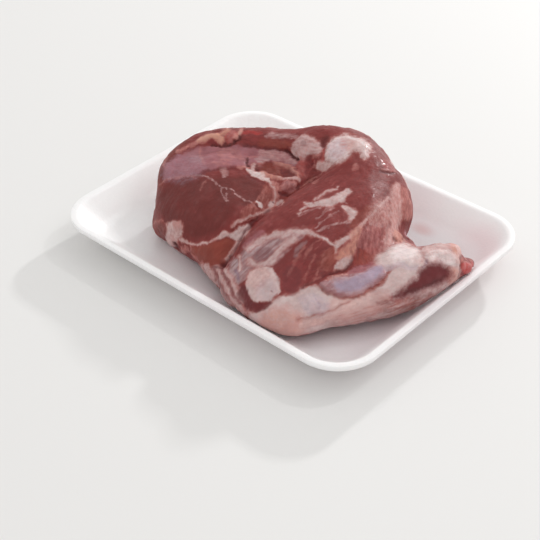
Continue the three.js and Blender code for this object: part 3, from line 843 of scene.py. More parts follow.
# The flank muscle, with the amber fat along its edge, and the pink flap that hangs on the right
FLANK_LINE = [
    (349, 238), (355, 232), (361, 227), (367, 220), (373, 213), (380, 206), (386, 200),
]
strip(FLANK_LINE, 2.0, lift=0.5, softness=1.5, fat=0.45, rose=0.8)
FLANK_AMBER = [
    (342, 250), (348, 244), (355, 238), (360, 233), (358, 242), (354, 250), (352, 256), (346, 256),
    (340, 258), (336, 260),
]
patch(FLANK_AMBER, lift=0.4, softness=2.4, amber=0.5, rose=0.5)
FLANK_FAT = [(333, 270), (338, 263), (344, 257), (350, 254), (352, 259), (348, 266), (341, 268)]
patch(FLANK_FAT, lift=0.4, softness=1.6, fat=0.75)
FORK_FAT = [(333, 244), (339, 240), (346, 237), (351, 235), (348, 240), (341, 244), (337, 248)]
patch(FORK_FAT, lift=0.4, softness=1.4, fat=0.8)
FORK_LEG = [(335, 245), (336, 252)]
strip(FORK_LEG, 1.8, softness=1.4, fat=0.6)
FLANK_RUST = [
    (328, 254), (334, 250), (342, 247), (345, 250), (340, 256), (335, 263), (330, 268), (327, 262),
]
patch(FLANK_RUST, softness=2.4, rust=0.85)
FORK_AMBER = [(350, 236), (356, 229), (362, 228), (358, 235), (352, 240)]
patch(FORK_AMBER, softness=2.4, amber=0.45)
FLANK_RED = [(350, 222), (358, 214), (368, 207), (372, 212), (362, 222), (354, 229)]
patch(FLANK_RED, softness=3.0, rust=0.5)
# The muscle between the elbow and the flank: wet and dark below, rusty at its right end
WINDOW_WET = [(284, 268), (294, 262), (304, 266), (306, 280), (298, 292), (286, 293), (280, 280)]
patch(WINDOW_WET, softness=4.0, blood=0.15, glaze=0.4)
WINDOW_RUST = [(318, 266), (324, 254), (331, 246), (336, 252), (334, 264), (326, 270)]
patch(WINDOW_RUST, softness=4.0, rust=0.8, flush=0.3)
WINDOW_FIBRES = (
    [(304, 260), (308, 251), (314, 244), (322, 239)], [(304, 280), (308, 272), (312, 264), (315, 256)],
    [(317, 273), (321, 265), (324, 256)], [(296, 262), (300, 254), (306, 247)],
    [(306, 285), (313, 280), (320, 276)], [(288, 276), (291, 268), (296, 260)],
)
for line in WINDOW_FIBRES:
    strip(line, 1.0, lift=0.3, softness=1.8, rose=0.35, flush=0.45)
FLANK_HAZE = [
    (370, 212), (378, 205), (387, 206), (389, 216), (385, 224), (376, 226), (369, 221),
]
patch(FLANK_HAZE, softness=5.0, rose=0.6, fat=0.2)
FLANK = [
    (354, 242), (362, 230), (374, 224), (386, 224), (392, 234), (388, 246), (376, 252), (366, 250),
    (360, 246),
]
patch(FLANK, softness=4.0, lift=0.3, rose=0.35, membrane=0.3)
FLANK_FOOT = [(356, 252), (366, 250), (380, 250), (376, 258), (364, 264), (355, 264)]
patch(FLANK_FOOT, softness=3.0, rust=0.6, blood=0.12)
FLANK_FIBRE = [(358, 229), (358, 243), (357, 260)]
FLANK_FIBRE_STEPS = [(6, -1), (5.5, 0), (5, -2)]
FLANK_FIBRES = 6
for n in range(FLANK_FIBRES):
    line = [(x + n * dx, y + n * dy) for (x, y), (dx, dy) in zip(FLANK_FIBRE, FLANK_FIBRE_STEPS)]
    strip(line, 0.8, lift=-0.4, softness=1.5, wine=0.28)
FLANK_SEAM = [(351, 247), (352, 255), (350, 261)]
strip(FLANK_SEAM, 1.6, lift=-0.7, softness=1.8, rust=0.5, wine=0.35)
FLANK_SLIT = [(357, 242), (358, 250), (358, 258)]
strip(FLANK_SLIT, 1.0, lift=-0.5, softness=1.4, wine=0.6)
WET_END = [
    (370, 170), (378, 174), (388, 180), (391, 190), (388, 202), (384, 212), (374, 216), (370, 206),
    (372, 194), (368, 184),
]
patch(WET_END, softness=4.0, glaze=0.95, crinkle=0.5)
WET_STREAKS = (
    [(371, 179), (376, 174)], [(370, 189), (378, 182)], [(372, 196), (380, 189), (387, 181)],
    [(374, 202), (381, 195), (388, 188)], [(371, 210), (378, 204), (385, 197)],
)
for line in WET_STREAKS:
    strip(line, 1.2, lift=0.35, softness=1.6, glaze=1.0, crinkle=1.0)
WET_SPOT = [(375, 162), (381, 160), (385, 164), (381, 167), (376, 166)]
patch(WET_SPOT, softness=2.2, glaze=1.0, crinkle=1.0)
TOP_EDGE_RED = [(384, 160), (392, 158), (397, 168), (392, 171), (384, 168)]
patch(TOP_EDGE_RED, softness=2.4, blood=0.25)
FLAP_RIGHT = [
    (384, 240), (388, 225), (390, 212), (390, 198), (394, 184), (400, 184), (401, 200), (401, 214),
    (399, 228), (394, 240), (388, 247),
]
patch(FLAP_RIGHT, softness=2.4, lift=0.4, rose=0.95, fat=0.3)
FLAP_EDGE = [(397, 188), (399, 202), (398, 216), (396, 228), (392, 238)]
strip(FLAP_EDGE, 1.6, lift=0.5, softness=1.8, fat=0.4)
FLAP_SEAM = [(391, 188), (389, 203), (387, 218), (384, 234), (379, 246)]
strip(FLAP_SEAM, 1.2, lift=-0.8, softness=1.8, rust=0.6)
FLAP_BACK = [
    (401, 186), (406, 190), (411, 200), (413, 212), (411, 220), (406, 219), (402, 221), (402, 204),
]
patch(FLAP_BACK, softness=2.2, lift=0.4, rose=0.85, rust=0.3)
FLAP_BACK_SEAM = [(402, 190), (404, 205), (402, 219)]
strip(FLAP_BACK_SEAM, 1.2, lift=-0.9, softness=1.6, rust=0.6)
# The slit is sunk and laid near black: painted shade in it
SLIT = [(380, 172), (387, 173), (394, 173)]
strip(SLIT, 1.8, lift=-1.2, softness=2.2, wine=0.95, dark=0.2)
SLIT_LIP = [(381, 170), (388, 170), (395, 171)]
strip(SLIT_LIP, 1.0, lift=0.5, rose=0.4)
TAG = [(394, 232), (400, 231), (405, 233), (404, 241), (399, 243), (393, 240)]
patch(TAG, lift=1.6, softness=1.6, rust=0.5, amber=0.45)
for pit in ([(393, 238), (396, 241)], [(403, 233), (403, 240)]):
    strip(pit, 1.4, lift=-0.9, softness=1.4, wine=0.8)
TAG_EDGE = [(405, 240), (413, 244), (420, 247)]
strip(TAG_EDGE, 2.4, lift=0.4, softness=1.6, rose=0.75)

# The silverskin on the shank's near muscle
SILVERSKIN = [
    (318, 285), (326, 280), (338, 278), (350, 276), (361, 273), (370, 268), (377, 263), (383, 266),
    (388, 270), (384, 277), (376, 284), (367, 290), (358, 295), (348, 298), (338, 297), (327, 292),
]
patch(SILVERSKIN, softness=2.0, lift=1.0, membrane=1.0, veil=0.35, glaze=0.5)
LILAC_SHEET = [
    (330, 284), (338, 281), (350, 279), (362, 275), (371, 269), (378, 265), (385, 269), (381, 276),
    (372, 283), (360, 289), (348, 293), (338, 291),
]
patch(LILAC_SHEET, softness=3.6, lilac=0.9)
SILVERSKIN_SHINE = ([(324, 285), (330, 283), (335, 285)], [(333, 284), (340, 285), (345, 283)])
for line in SILVERSKIN_SHINE:
    strip(line, 1.8, softness=1.6, lift=0.3, glaze=1.0)
SILVERSKIN_STREAKS = (
    [(334, 279), (346, 279), (358, 277)], [(342, 289), (354, 287), (364, 281), (374, 274)],
    [(346, 294), (358, 291), (368, 285)],
)
for line in SILVERSKIN_STREAKS:
    strip(line, 1.2, softness=2.2, veil=0.55)
SILVERSKIN_SHADE = [(319, 285), (325, 289), (334, 294), (344, 297)]
strip(SILVERSKIN_SHADE, 2.4, softness=2.6, wine=0.35)
MAUVE_TOP = [
    (344, 275), (352, 269), (362, 266), (372, 262), (379, 264), (372, 270), (360, 275), (350, 277),
]
patch(MAUVE_TOP, softness=3.0, membrane=0.95)
SILVERSKIN_END = [(382, 263), (379, 268), (386, 273)]
strip(SILVERSKIN_END, 2.0, softness=2.4, veil=0.7)
SILVERSKIN_TOP_EDGE = [(326, 280), (336, 276), (346, 275)]
strip(SILVERSKIN_TOP_EDGE, 1.4, lift=0.4, softness=1.4, rose=0.6, fat=0.2)
SHANK_CREASE = [
    (301, 289), (308, 283), (316, 280), (322, 277), (332, 272), (342, 270), (350, 265), (353, 258),
]
strip(SHANK_CREASE, 1.4, lift=-1.3, softness=1.6, wine=0.65)
SILVERSKIN_CREASE = [(322, 289), (332, 296), (344, 300), (356, 298), (368, 292), (378, 286), (386, 278)]
strip(SILVERSKIN_CREASE, 0.8, lift=-0.8, softness=2.2, flush=0.35)

# The shank: cream fat over its near side, cartilage at its root, a window of red muscle, its cut end
SHANK_FAT = [
    (268, 305), (275, 299), (284, 297), (294, 293), (303, 288), (312, 286), (321, 289), (333, 296),
    (348, 301), (360, 297), (371, 292), (381, 285), (389, 277), (393, 268), (402, 265), (412, 268),
    (421, 261), (430, 257), (445, 259), (457, 264), (464, 275), (456, 286), (430, 302), (413, 314),
    (389, 322), (362, 326), (327, 330), (300, 335), (282, 341), (266, 337), (254, 326), (246, 314),
    (260, 311),
]
patch(SHANK_FAT, softness=2.4, lift=0.4, fat=1.0)
SHANK_GREY = [(300, 298), (312, 296), (324, 300), (328, 307), (319, 313), (306, 311)]
patch(SHANK_GREY, softness=6.0, veil=0.5, lilac=0.3)
SHANK_VEIN = [(313, 297), (319, 303), (318, 309)]
strip(SHANK_VEIN, 1.2, softness=2.2, lift=-0.3, lilac=0.65)
SHANK_GLOSS = ([(284, 303), (294, 299), (306, 298)], [(302, 304), (308, 307)], [(270, 310), (282, 305)])
for line in SHANK_GLOSS:
    strip(line, 1.6, softness=2.6, lift=0.2, glaze=0.6)
SHANK_WARM = [(264, 318), (282, 313), (300, 318), (302, 328), (286, 335), (270, 333)]
patch(SHANK_WARM, softness=8.0, amber=0.25)
SHANK_CREAM = [(332, 304), (350, 304), (372, 297), (388, 296), (380, 305), (360, 313), (338, 316)]
patch(SHANK_CREAM, softness=6.0, pearl=0.25, amber=0.2)
SHANK_FLUSH = [
    (330, 322), (352, 314), (372, 306), (395, 303), (420, 299), (445, 290), (464, 280), (458, 290),
    (426, 311), (400, 321), (370, 327), (340, 329),
]
patch(SHANK_FLUSH, softness=6.0, flush=0.42)
SHANK_FOLD = [(298, 320), (310, 317), (322, 313), (332, 310), (342, 305), (351, 300), (358, 297)]
strip(SHANK_FOLD, 1.6, lift=-1.1, softness=2.4, flush=0.85)
SHANK_FOLD_LIP = [(300, 326), (314, 322), (328, 318), (342, 312), (356, 304)]
strip(SHANK_FOLD_LIP, 1.6, lift=0.5, softness=2.4, amber=0.35, pearl=0.25)
SHANK_LINES = (
    [(384, 311), (410, 306), (436, 297)], [(378, 303), (404, 301), (430, 294)],
    [(392, 318), (416, 313), (440, 303)], [(366, 320), (382, 320), (398, 315)],
)
for line in SHANK_LINES:
    strip(line, 1.6, lift=-0.6, softness=2.6, flush=0.75, wine=0.25)
SHANK_RED = [
    (380, 297), (396, 299), (412, 300), (430, 296), (446, 287), (450, 291), (426, 306), (400, 312),
    (382, 308),
]
patch(SHANK_RED, softness=5.0, flush=0.7)
ROOT = [
    (374, 258), (383, 252), (391, 247), (400, 245), (412, 245), (420, 249), (426, 256), (422, 263),
    (414, 270), (404, 270), (394, 268), (385, 270), (379, 266),
]
patch(ROOT, softness=4.0, lift=0.8, fat=1.0)
ROOT_WHITE = [(388, 254), (395, 248), (406, 247), (416, 251), (414, 258), (404, 261), (394, 261)]
patch(ROOT_WHITE, softness=6.0, pearl=0.85)
ROOT_LIGHTS = ([(378, 262), (382, 257), (386, 256)], [(404, 250), (412, 252), (420, 256)])
for line in ROOT_LIGHTS:
    strip(line, 2.0, softness=2.4, glaze=0.7)
ROOT_SHADE = [(384, 270), (393, 266), (403, 265), (409, 268), (416, 268)]
strip(ROOT_SHADE, 2.4, softness=3.0, lift=-0.5, veil=0.5, lilac=0.3)
ROOT_FOOT = [(388, 282), (398, 276), (410, 276)]
strip(ROOT_FOOT, 3.0, softness=4.0, veil=0.5)
RED_WINDOW = [
    (390, 298), (399, 292), (408, 285), (415, 279), (420, 271), (425, 265), (432, 262), (441, 263),
    (449, 268), (453, 275), (447, 282), (435, 287), (421, 292), (408, 297), (398, 300),
]
patch(RED_WINDOW, softness=5.0, lift=-0.8, wine=1.0, blood=0.2)
WINDOW_DARK = [
    (398, 297), (408, 291), (420, 286), (434, 280), (446, 274), (451, 276), (438, 284), (422, 291),
    (408, 296),
]
patch(WINDOW_DARK, softness=4.0, lift=-0.5, wine=1.0, blood=0.15)
# The deepest line in the red window is sunk, and its near black is painted shade
WINDOW_DEEP = [(406, 292), (420, 289), (434, 283), (446, 277)]
strip(WINDOW_DEEP, 1.2, lift=-0.4, softness=2.4, dark=0.3, glaze=0.3)
SHANK_SLIT = [(423, 267), (425, 264), (427, 261)]
strip(SHANK_SLIT, 2.0, lift=-1.2, softness=1.5, wine=0.5, lilac=0.5)
TAB = [
    (424, 247), (436, 244), (448, 244), (459, 244), (461, 252), (461, 262), (455, 263), (446, 257),
    (436, 255), (428, 257), (421, 254),
]
patch(TAB, softness=1.8, lift=1.4, cuts=1, rose=0.75, fat=0.65)
TAB_AMBER = [(449, 247), (457, 247), (459, 256), (452, 254)]
patch(TAB_AMBER, softness=3.0, amber=0.6)
TAB_PALE = [
    (426, 257), (433, 252), (443, 251), (452, 254), (459, 261), (456, 267), (449, 263), (440, 260),
    (430, 260),
]
patch(TAB_PALE, softness=2.6, lift=0.4, fat=0.95, pearl=0.45)
TAB_LINE = [(428, 249), (438, 249), (447, 251), (454, 256)]
strip(TAB_LINE, 0.8, lift=-0.6, softness=1.6, rose=0.7)
TAB_TOP = [(434, 245), (448, 245), (458, 246)]
strip(TAB_TOP, 1.2, lift=0.4, softness=1.4, rose=0.8)
TAB_CORNER = [(456, 248), (458, 255), (458, 262)]
strip(TAB_CORNER, 1.4, softness=1.4, pearl=0.35, amber=0.3)
TAB_FOOT = [(446, 271), (453, 269), (458, 273), (457, 281), (449, 283)]
patch(TAB_FOOT, softness=3.4, rust=0.45, amber=0.4)
CUT_EDGE = [(461, 246), (462, 254), (461, 262), (459, 270), (459, 278)]
strip(CUT_EDGE, 1.4, lift=-1.1, softness=1.4, rose=0.5, wine=0.35)
TIP_HOLLOW = (467, 254)
swell(TIP_HOLLOW, radius=7, height=-5.0)
TIP_ENDS = ((456, 248), (470, 269))
for end in TIP_ENDS:
    swell(end, radius=6, height=1.5)
CUT_BACK = [(461, 246), (467, 248), (472, 256), (474, 262), (466, 262), (461, 263)]
patch(CUT_BACK, softness=1.5, rose=0.7)
RED_TIP = [(461, 264), (467, 261), (474, 264), (478, 269), (471, 277), (463, 280), (460, 272)]
patch(RED_TIP, lift=0.8, softness=1.6, blood=1.0, glaze=0.4)
TIP_PINK = ([(463, 268), (468, 265), (474, 267)], [(476, 268), (472, 274)])
for line in TIP_PINK:
    strip(line, 1.4, lift=0.5, softness=1.4, rose=0.6)
TIP_SHADE = [(461, 273), (467, 275)]
strip(TIP_SHADE, 1.8, lift=-0.7, softness=1.6, wine=0.7)

# The left lobes: a small dark one, cream fat and a gap, and the rusty one with its pale edge
SMALL_LOBE = [(152, 222), (158, 219), (165, 221), (168, 232), (167, 244), (160, 242), (154, 234)]
patch(SMALL_LOBE, softness=2.0, lift=0.9, rose=0.2, rust=0.3)
SMALL_LOBE_LEAN = [(157, 225), (163, 224), (167, 231), (167, 240), (161, 238)]
patch(SMALL_LOBE_LEAN, softness=2.4, deep=0.9, wine=0.3)
SMALL_LOBE_RIM = [(153, 224), (158, 220), (165, 221), (168, 229), (168, 240)]
strip(SMALL_LOBE_RIM, 1.0, lift=0.4, softness=1.6, rose=0.7)
LOBE_FAT = [
    (167, 222), (172, 223), (179, 221), (182, 226), (182, 235), (177, 240), (175, 249), (170, 252),
    (167, 245), (168, 233),
]
patch(LOBE_FAT, lift=1.1, softness=1.8, fat=0.6, rose=0.5)
LOBE_FAT_LIGHT = ([(170, 226), (172, 236), (171, 247)], [(178, 231), (177, 238)])
for line in LOBE_FAT_LIGHT:
    strip(line, 1.8, softness=1.8, lift=0.3, glaze=0.6)
LOBE_FAT_RED = [(174, 223), (181, 222), (182, 229), (177, 230)]
patch(LOBE_FAT_RED, softness=2.2, flush=0.5)
LOBE_SEAM = [(165, 224), (166, 236), (167, 247)]
strip(LOBE_SEAM, 1.0, lift=-1.0, softness=1.4, wine=0.5)
LOBULE = [(180, 245), (186, 246), (190, 251), (186, 255), (181, 252)]
patch(LOBULE, softness=1.8, lift=0.8, rose=0.75)
# The gap between the lobes is sunk and laid near black: painted shade
LOBE_GAP = [(175, 243), (177, 250), (180, 255), (185, 257)]
strip(LOBE_GAP, 1.8, lift=-2.0, softness=1.5, wine=0.9, dark=0.6)
LOBE_GAP_LIP = [(184, 258), (191, 259)]
strip(LOBE_GAP_LIP, 1.2, lift=0.4, softness=1.4, rose=0.6)
RUSTY_LOBE = [
    (192, 247), (199, 247), (206, 246), (214, 242), (222, 240), (231, 239), (236, 242), (232, 250),
    (227, 257), (224, 262), (218, 267), (211, 268), (203, 263), (196, 258), (192, 252),
]
patch(RUSTY_LOBE, softness=1.8, lift=0.7, rust=0.85)
RUSTY_EDGE = [(181, 239), (188, 243), (197, 245), (207, 243), (214, 240), (220, 237)]
strip(RUSTY_EDGE, 1.4, lift=0.7, softness=1.4, fat=0.6, rose=0.4)
RUSTY_LEFT_EDGE = [(191, 246), (192, 253), (196, 259), (203, 264), (211, 269)]
strip(RUSTY_LEFT_EDGE, 1.2, lift=0.5, softness=1.6, rose=0.75)
LOBE_CREST = [
    (217, 238), (220, 233), (226, 231), (231, 234), (236, 231), (241, 227), (247, 225), (250, 227),
    (248, 233), (244, 237), (239, 241), (236, 240), (231, 237), (224, 238),
]
patch(LOBE_CREST, lift=1.2, softness=1.3, fat=0.8)
LOBE_CREST_LIGHT = [(222, 234), (228, 235), (240, 231), (246, 228)]
strip(LOBE_CREST_LIGHT, 1.4, softness=1.6, lift=0.3, glaze=0.6)
LOBE_RIDGE = [(241, 236), (238, 242), (235, 248), (231, 254), (226, 260)]
strip(LOBE_RIDGE, 2.2, lift=0.6, softness=1.6, fat=0.4, rose=0.7)
LOBE_RIDGE_SEAM = [(244, 238), (241, 245), (238, 252)]
strip(LOBE_RIDGE_SEAM, 1.0, lift=-0.9, softness=1.6, wine=0.6)
UPPER_EDGE = [(232, 226), (239, 222), (247, 218), (255, 216), (263, 213), (269, 209)]
strip(UPPER_EDGE, 2.0, lift=0.7, softness=1.4, fat=0.5, rose=0.6)
LOBE_FOOT = [(212, 269), (220, 268), (227, 262)]
strip(LOBE_FOOT, 1.4, lift=-1.2, softness=1.6, wine=0.7)

# The sinewy strands down the near left side
STRANDS_GROUND = [
    (203, 265), (212, 268), (224, 266), (232, 276), (242, 292), (248, 312), (262, 328), (250, 324),
    (232, 308), (216, 292), (206, 276),
]
patch(STRANDS_GROUND, softness=2.6, rose=0.4, veil=0.25)
SINEWS = (
    ([(207, 267), (212, 277), (218, 287), (224, 297), (232, 308)], 3.4),
    ([(217, 269), (222, 279), (228, 290), (235, 302), (244, 314)], 2.8),
    ([(226, 270), (231, 281), (237, 292), (242, 302)], 2.0),
    ([(201, 265), (205, 275), (211, 286)], 1.6),
)
for line, width in SINEWS:
    strip(line, width, lift=1.0, softness=2.4, fat=0.5, rose=0.4, veil=0.6)
SINEW_GAPS = (
    [(213, 270), (217, 280), (223, 290), (229, 301)], [(222, 269), (227, 280), (233, 292), (240, 305)],
)
for line in SINEW_GAPS:
    strip(line, 1.2, lift=-0.6, softness=2.0, membrane=0.5, wine=0.4)
SINEW_FOOT = [(236, 302), (244, 312), (254, 322), (266, 331)]
strip(SINEW_FOOT, 2.6, lift=0.4, softness=2.0, rose=0.7)

# What the photograph doesn't show has the same tissues: fat in torn sheets, veils and a few seams.
# The walls of the seam between the two big muscles are bare lean
SEAM_WALL_PIXELS = 10
SEAM_WALL_FOOT = 0.022
hidden = 1 - np.clip(seen * 1.6, 0, 1)
seam_parts = [distance_to_path(rounded(path, False)) for path in (SEAM_TOP, SEAM_FOOT)]
from_seam = np.minimum(*seam_parts)
in_seam = (from_seam < SEAM_WALL_PIXELS) & (points[:, 2] > SEAM_WALL_FOOT)
hidden = spread(hidden * ~in_seam, 1)
sheets = field(34, 5) + 0.35 * field(9, 6)
# Seams on the unseen side are sunk and laid with near-black painted shade
seam_noise = np.abs(field(30, 10, octaves=1))
for name, values, low, high, most in (
    ("fat", sheets, 0.12, 0.24, 0.6),
    ("veil", field(26, 7), 0.0, 0.45, 0.2),
    ("membrane", field(40, 8), 0.2, 0.5, 0.6),
    ("rose", field(18, 9), 0.1, 0.6, 0.2),
    ("dark", -seam_noise, -0.035, 0.0, 0.0),
):
    value = np.clip(2 * (values - low) / (high - low) - 1, -EDGE_REACH, most)
    value = (value + EDGE_REACH) * hidden - EDGE_REACH
    tissue[name] = np.maximum(tissue[name], value)
SHEET_RISE_MM = 0.8
SEAM_DEPTH_MM = 1.1
sheet_rise = SHEET_RISE_MM * soft_step(sheets, 0.08, 0.3)
seam_depth = SEAM_DEPTH_MM * (1 - soft_step(seam_noise, 0, 0.05))
rise = rise + hidden * (sheet_rise - seam_depth)

# Which way the fibres run: along the arm muscle, along the shank, and down over the left muscle
ARM_GRAIN = math.radians(43)
SHANK_GRAIN = math.radians(14)
LEFT_GRAIN = math.radians(68)
FLANK_GRAIN = math.radians(78)
BACK_GRAIN = math.radians(-8)
side_mm = (points @ np.array(camera_right)) * MILLIMETRES
up_mm = (points @ np.array(camera_up)) * MILLIMETRES
deep_mm = (points @ np.array(CAMERA_FORWARD)) * MILLIMETRES


def beyond(place, across, blur):
    """0 before a line in the photograph and 1 beyond it, over a blur of some pixels."""
    off = (column - place[0]) * across[0] + (row - place[1]) * across[1]
    return soft_step(off, -blur, blur)


# Each muscle ends at a line in the photograph: a place on it, and the way across it
ARM_SIDE = ((312, 179), (0.60, 0.80), 6)
SHANK_SIDE = ((330, 285), (0.42, 1.0), 8)
FLANK_SIDE = ((366, 222), (0.80, 0.60), 6)
BACK_SIDE = ((230, 172), (-0.05, -1.0), 6)
on_arm = beyond(*ARM_SIDE)
on_shank = beyond(*SHANK_SIDE) * on_arm
on_flank = beyond(*FLANK_SIDE) * on_arm * (1 - on_shank)
on_back = beyond(*BACK_SIDE) * (1 - on_arm)
shares = {
    LEFT_GRAIN: 1 - on_arm - on_back,
    BACK_GRAIN: on_back,
    SHANK_GRAIN: on_shank,
    FLANK_GRAIN: on_flank,
    ARM_GRAIN: on_arm - on_shank - on_flank,
}
grain = np.zeros((len(points), 3))
for angle, share in shares.items():
    along = side_mm * math.cos(angle) + up_mm * math.sin(angle)
    across = up_mm * math.cos(angle) - side_mm * math.sin(angle)
    grain += share[:, None] * np.stack([along, across, deep_mm], axis=1)

# Low relief of the flesh itself: soft swellings, the bundles of fibre and the wrinkles of the fat
BUNDLE_SIZE_MM = np.array((30, 3.4, 3.4))
BUNDLE_RISE_MM = 0.22
SWELLING_RISE_MM = 0.55
RIPPLE_RISE_MM = 0.25
bundles = np.array([noise.fractal(Vector(g), 0.8, 2.0, 2) for g in grain / BUNDLE_SIZE_MM])
fatty_edge = np.maximum(np.maximum(tissue["fat"], tissue["lilac"]), tissue["amber"])
lean_share = 1 - soft_step(fatty_edge, -1, 1)
rise = rise + SWELLING_RISE_MM * field(13, 3) + RIPPLE_RISE_MM * field(5, 4)
rise = rise + BUNDLE_RISE_MM * bundles * (0.35 + 0.65 * lean_share)
UNDERSIDE = 0.0055
on_floor = soft_step(points[:, 2], UNDERSIDE - 0.0008, UNDERSIDE + 0.004)
rise = spread(rise, 1) * on_floor
moved = points + normals * (rise / MILLIMETRES)[:, None]
flesh.data.vertices.foreach_set("co", moved.astype(np.float32).ravel())
flesh.data.update()

# How deep each point lies in a fold, or how far it stands on a crest: where shade and light are painted
FOLD_ROUNDS = 7
FOLD_FULL = 0.55
normals = mesh_array(flesh.data.vertices, "normal", 3).astype(float)
around = np.stack([spread(moved[:, axis], FOLD_ROUNDS) for axis in range(3)], axis=1)
hollow = ((around - moved) * normals).sum(axis=1) * MILLIMETRES
tissue["fold"] = spread(soft_step(hollow, 0.04, FOLD_FULL), 1)
tissue["crest"] = spread(soft_step(-hollow, 0.10, FOLD_FULL), 1)

for name, values in tissue.items():
    layer = flesh.data.attributes.new(name, "FLOAT", "POINT")
    layer.data.foreach_set("value", values.astype(np.float32))
grain_layer = flesh.data.attributes.new("grain", "FLOAT_VECTOR", "POINT")
grain_layer.data.foreach_set("vector", grain.astype(np.float32).ravel())

# The flesh's material: each tissue laid over the lean in turn, with fibres, marbling and a wet coat
LEAN = (0.250, 0.040, 0.037)
LEAN_DEEP = (0.165, 0.023, 0.021)
LEAN_PALE = (0.310, 0.060, 0.058)
TISSUE_COLOUR = {
    "deep": (0.150, 0.024, 0.020),
    "rust": (0.290, 0.056, 0.036),
    "membrane": (0.380, 0.138, 0.158),
    "rose": (0.560, 0.215, 0.190),
    "veil": (0.520, 0.385, 0.395),
    "fat": (0.690, 0.530, 0.515),
    "amber": (0.640, 0.300, 0.215),
    "lilac": (0.420, 0.320, 0.420),
    "pearl": (0.900, 0.760, 0.750),
    "flush": (0.460, 0.150, 0.125),
    "blood": (0.480, 0.040, 0.036),
    # wine is dark red lean; where it lies in creases, seams and pits its darkness is partly painted shade
    "wine": (0.155, 0.022, 0.025),
    # dark is painted shade, near black, for the deepest gaps, pits, slits and seams
    "dark": (0.085, 0.012, 0.012),
}
THINNEST = {
    "fat": 0.80, "veil": 0.66, "rose": 0.60, "amber": 0.75, "membrane": 0.80, "lilac": 0.85, "flush": 0.5,
}
# The painted shade in folds, and the paler painted light on crests
FOLD_SHADE = (0.42, 0.24, 0.24)
CREST_PAINTED_LIGHT = (0.70, 0.42, 0.40)
MOIST_ROUGHNESS = 0.46
RELIEF_DEPTH = 0.0009
SPARKLE_DEPTH = 0.0008
PINK_RIMMED = ("fat", "amber")
STREAKY = ("veil", "rose", "flush")
TORN = ("fat", "amber", "membrane", "pearl")

raw_meat = bpy.data.materials.new("raw_meat")
raw_meat.use_nodes = True
meat_shader = raw_meat.node_tree.nodes["Principled BSDF"]
wire = Wire(raw_meat.node_tree)
place = wire.node("ShaderNodeTexCoord", None, None, "Object")
fibre_place = wire.node("ShaderNodeAttribute", {"attribute_name": "grain"}, None, "Vector")
fibres = wire.noise(wire.stretched(fibre_place, (0.06, 0.95, 0.95)), 1.0, 3.0, 0.6)
strands = wire.noise(wire.stretched(fibre_place, (0.05, 0.42, 0.42)), 1.0, 3.0, 0.6)
bundle_tone = wire.noise(wire.stretched(fibre_place, (0.03, 0.20, 0.20)), 1.0, 2.0)
mottle = wire.noise(place, 95, 4.0, 0.6)
ragged = wire.noise(place, 330, 4.0, 0.7) * 0.6 + strands * 0.4


def edge_of(name):
    """The attribute that runs from -1 to 1 across a tissue's edge."""
    return wire.node("ShaderNodeAttribute", {"attribute_name": name}, None, "Fac")


calm = edge_of("deep").between(-1, 1)
fibre_tone = (fibres * 0.45 + strands * 0.25 + bundle_tone * 0.3).between(0.34, 0.66)
tone = 0.5 + (fibre_tone - 0.5) * (1 - calm * 0.9) * 0.8
colour = tone.mixed(LEAN_DEEP, LEAN)
colour = (mottle.between(0.5, 0.75) * 0.4).mixed(colour, LEAN_PALE)
threads = strands.between(0.60, 0.70) * mottle.between(0.42, 0.6)
colour = (threads * 0.22).mixed(colour, TISSUE_COLOUR["rose"])

cover = {}
streaks = (strands * 0.6 + ragged * 0.4).between(0.38, 0.60)
fingers = strands - 0.5
crumbs = wire.noise(place, 420, 3.0, 0.65) - 0.5
blotches = wire.noise(place, 110, 3.0, 0.55).between(0.34, 0.60)
for name, full_colour in TISSUE_COLOUR.items():
    if name in STREAKY:
        edge = edge_of(name) + fingers * 1.3 + crumbs * 0.8
    elif name in TORN:
        edge = edge_of(name) + fingers * 0.8 + crumbs * 1.4
    else:
        edge = edge_of(name) + crumbs * 1.0
    thin = THINNEST.get(name, 1.0)
    breaks = streaks if name in STREAKY else blotches
    if name in PINK_RIMMED:
        colour = (edge.between(-1.8, -0.2) * 0.4).mixed(colour, TISSUE_COLOUR["rose"])
    cover[name] = edge.between(-1, 1) * (thin + breaks * (1 - thin))
    low_colour = tuple(0.80 * c for c in full_colour)
    tissue_tone = (mottle * 0.65 + ragged * 0.35).between(0.36, 0.64)
    colour = cover[name].mixed(colour, tissue_tone.mixed(low_colour, full_colour))
# Painted shade darkens the folds, and painted light makes the crests a little paler
fold = wire.node("ShaderNodeAttribute", {"attribute_name": "fold"}, None, "Fac")
crest = wire.node("ShaderNodeAttribute", {"attribute_name": "crest"}, None, "Fac")
colour = wire.node(
    "ShaderNodeMix",
    {"data_type": "RGBA", "blend_type": "MULTIPLY"},
    {"Factor_Float": fold * 0.50, "A_Color": colour, "B_Color": (*FOLD_SHADE, 1)},
    "Result_Color",
)
colour = (crest * 0.22).mixed(colour, CREST_PAINTED_LIGHT)
raw_meat.node_tree.links.new(colour.socket, meat_shader.inputs["Base Color"])

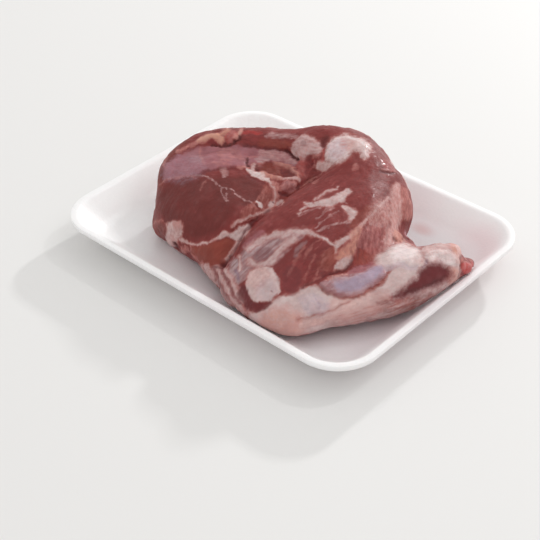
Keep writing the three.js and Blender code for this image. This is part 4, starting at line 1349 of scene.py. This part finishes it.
fatty = (cover["fat"] + cover["amber"] + cover["pearl"] + cover["veil"] * 0.5).math("MINIMUM", 1.0)
slick = cover["lilac"] + cover["blood"] * 0.6 + cover["membrane"] * 0.3
roughness = MOIST_ROUGHNESS + fibres * 0.16 + fatty * 0.05 - slick * 0.16
raw_meat.node_tree.links.new(roughness.socket, meat_shader.inputs["Roughness"])
glaze = edge_of("glaze").between(-1, 1)
wetness = wire.noise(place, 55, 2.0).between(0.46, 0.66) * 0.22 + slick * 0.40 + glaze * 0.9 + 0.03
raw_meat.node_tree.links.new(
    wetness.math("MINIMUM", 1.0).socket, meat_shader.inputs["Coat Weight"]
)
meat_shader.inputs["Specular IOR Level"].default_value = 0.26
meat_shader.inputs["Coat Roughness"].default_value = 0.16
meat_shader.inputs["Coat IOR"].default_value = 1.34
meat_shader.inputs["Subsurface Weight"].default_value = 0.12
meat_shader.inputs["Subsurface Radius"].default_value = (0.0040, 0.0014, 0.0011)
meat_shader.inputs["Subsurface Scale"].default_value = 0.5
relief_height = (fibres * 0.5 + strands * 0.5) * (1 - fatty * 0.7) * (1 - calm * 0.6)
relief_height = relief_height + ragged * (0.7 - fatty * 0.35) + mottle * 0.7
relief = wire.node(
    "ShaderNodeBump", None, {"Height": relief_height, "Strength": 0.70, "Distance": RELIEF_DEPTH}
)
# Wet crinkled skin: its little ridges all lean the same way, as shrunk skin does
CRINKLE_LEAN = (-0.46, 0.89, 0.0)
CRINKLE_WIDTH_MM = 2.3
CRINKLE_SLOPE = 0.34
crinkle_wobble = wire.noise(place, 260, 2.0) * 1.6
along_lean = wire.node(
    "ShaderNodeVectorMath", {"operation": "DOT_PRODUCT"}, {0: place, 1: CRINKLE_LEAN}, "Value"
)
crinkle_turn = (along_lean * (MILLIMETRES / CRINKLE_WIDTH_MM) + crinkle_wobble).math("FRACT")
crinkled = edge_of("crinkle").between(-1, 1)
crinkle_height = (1 - crinkle_turn) * crinkled * wire.noise(place, 140, 2.0) * 2
crinkles = wire.node(
    "ShaderNodeBump",
    None,
    {
        "Height": crinkle_height,
        "Strength": 1.0,
        "Distance": CRINKLE_SLOPE * CRINKLE_WIDTH_MM / MILLIMETRES,
        "Normal": relief,
    },
)
sparkle_height = wire.noise(wire.stretched(fibre_place, (0.18, 0.45, 0.45)), 1.0, 2.0) * glaze
sparkles = wire.node(
    "ShaderNodeBump",
    None,
    {"Height": sparkle_height, "Strength": 0.6, "Distance": SPARKLE_DEPTH, "Normal": crinkles},
)
raw_meat.node_tree.links.new(sparkles.socket, meat_shader.inputs["Normal"])
flesh.data.materials.clear()
flesh.data.materials.append(raw_meat)
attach(flesh, "root")
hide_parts("shoulder_meat")
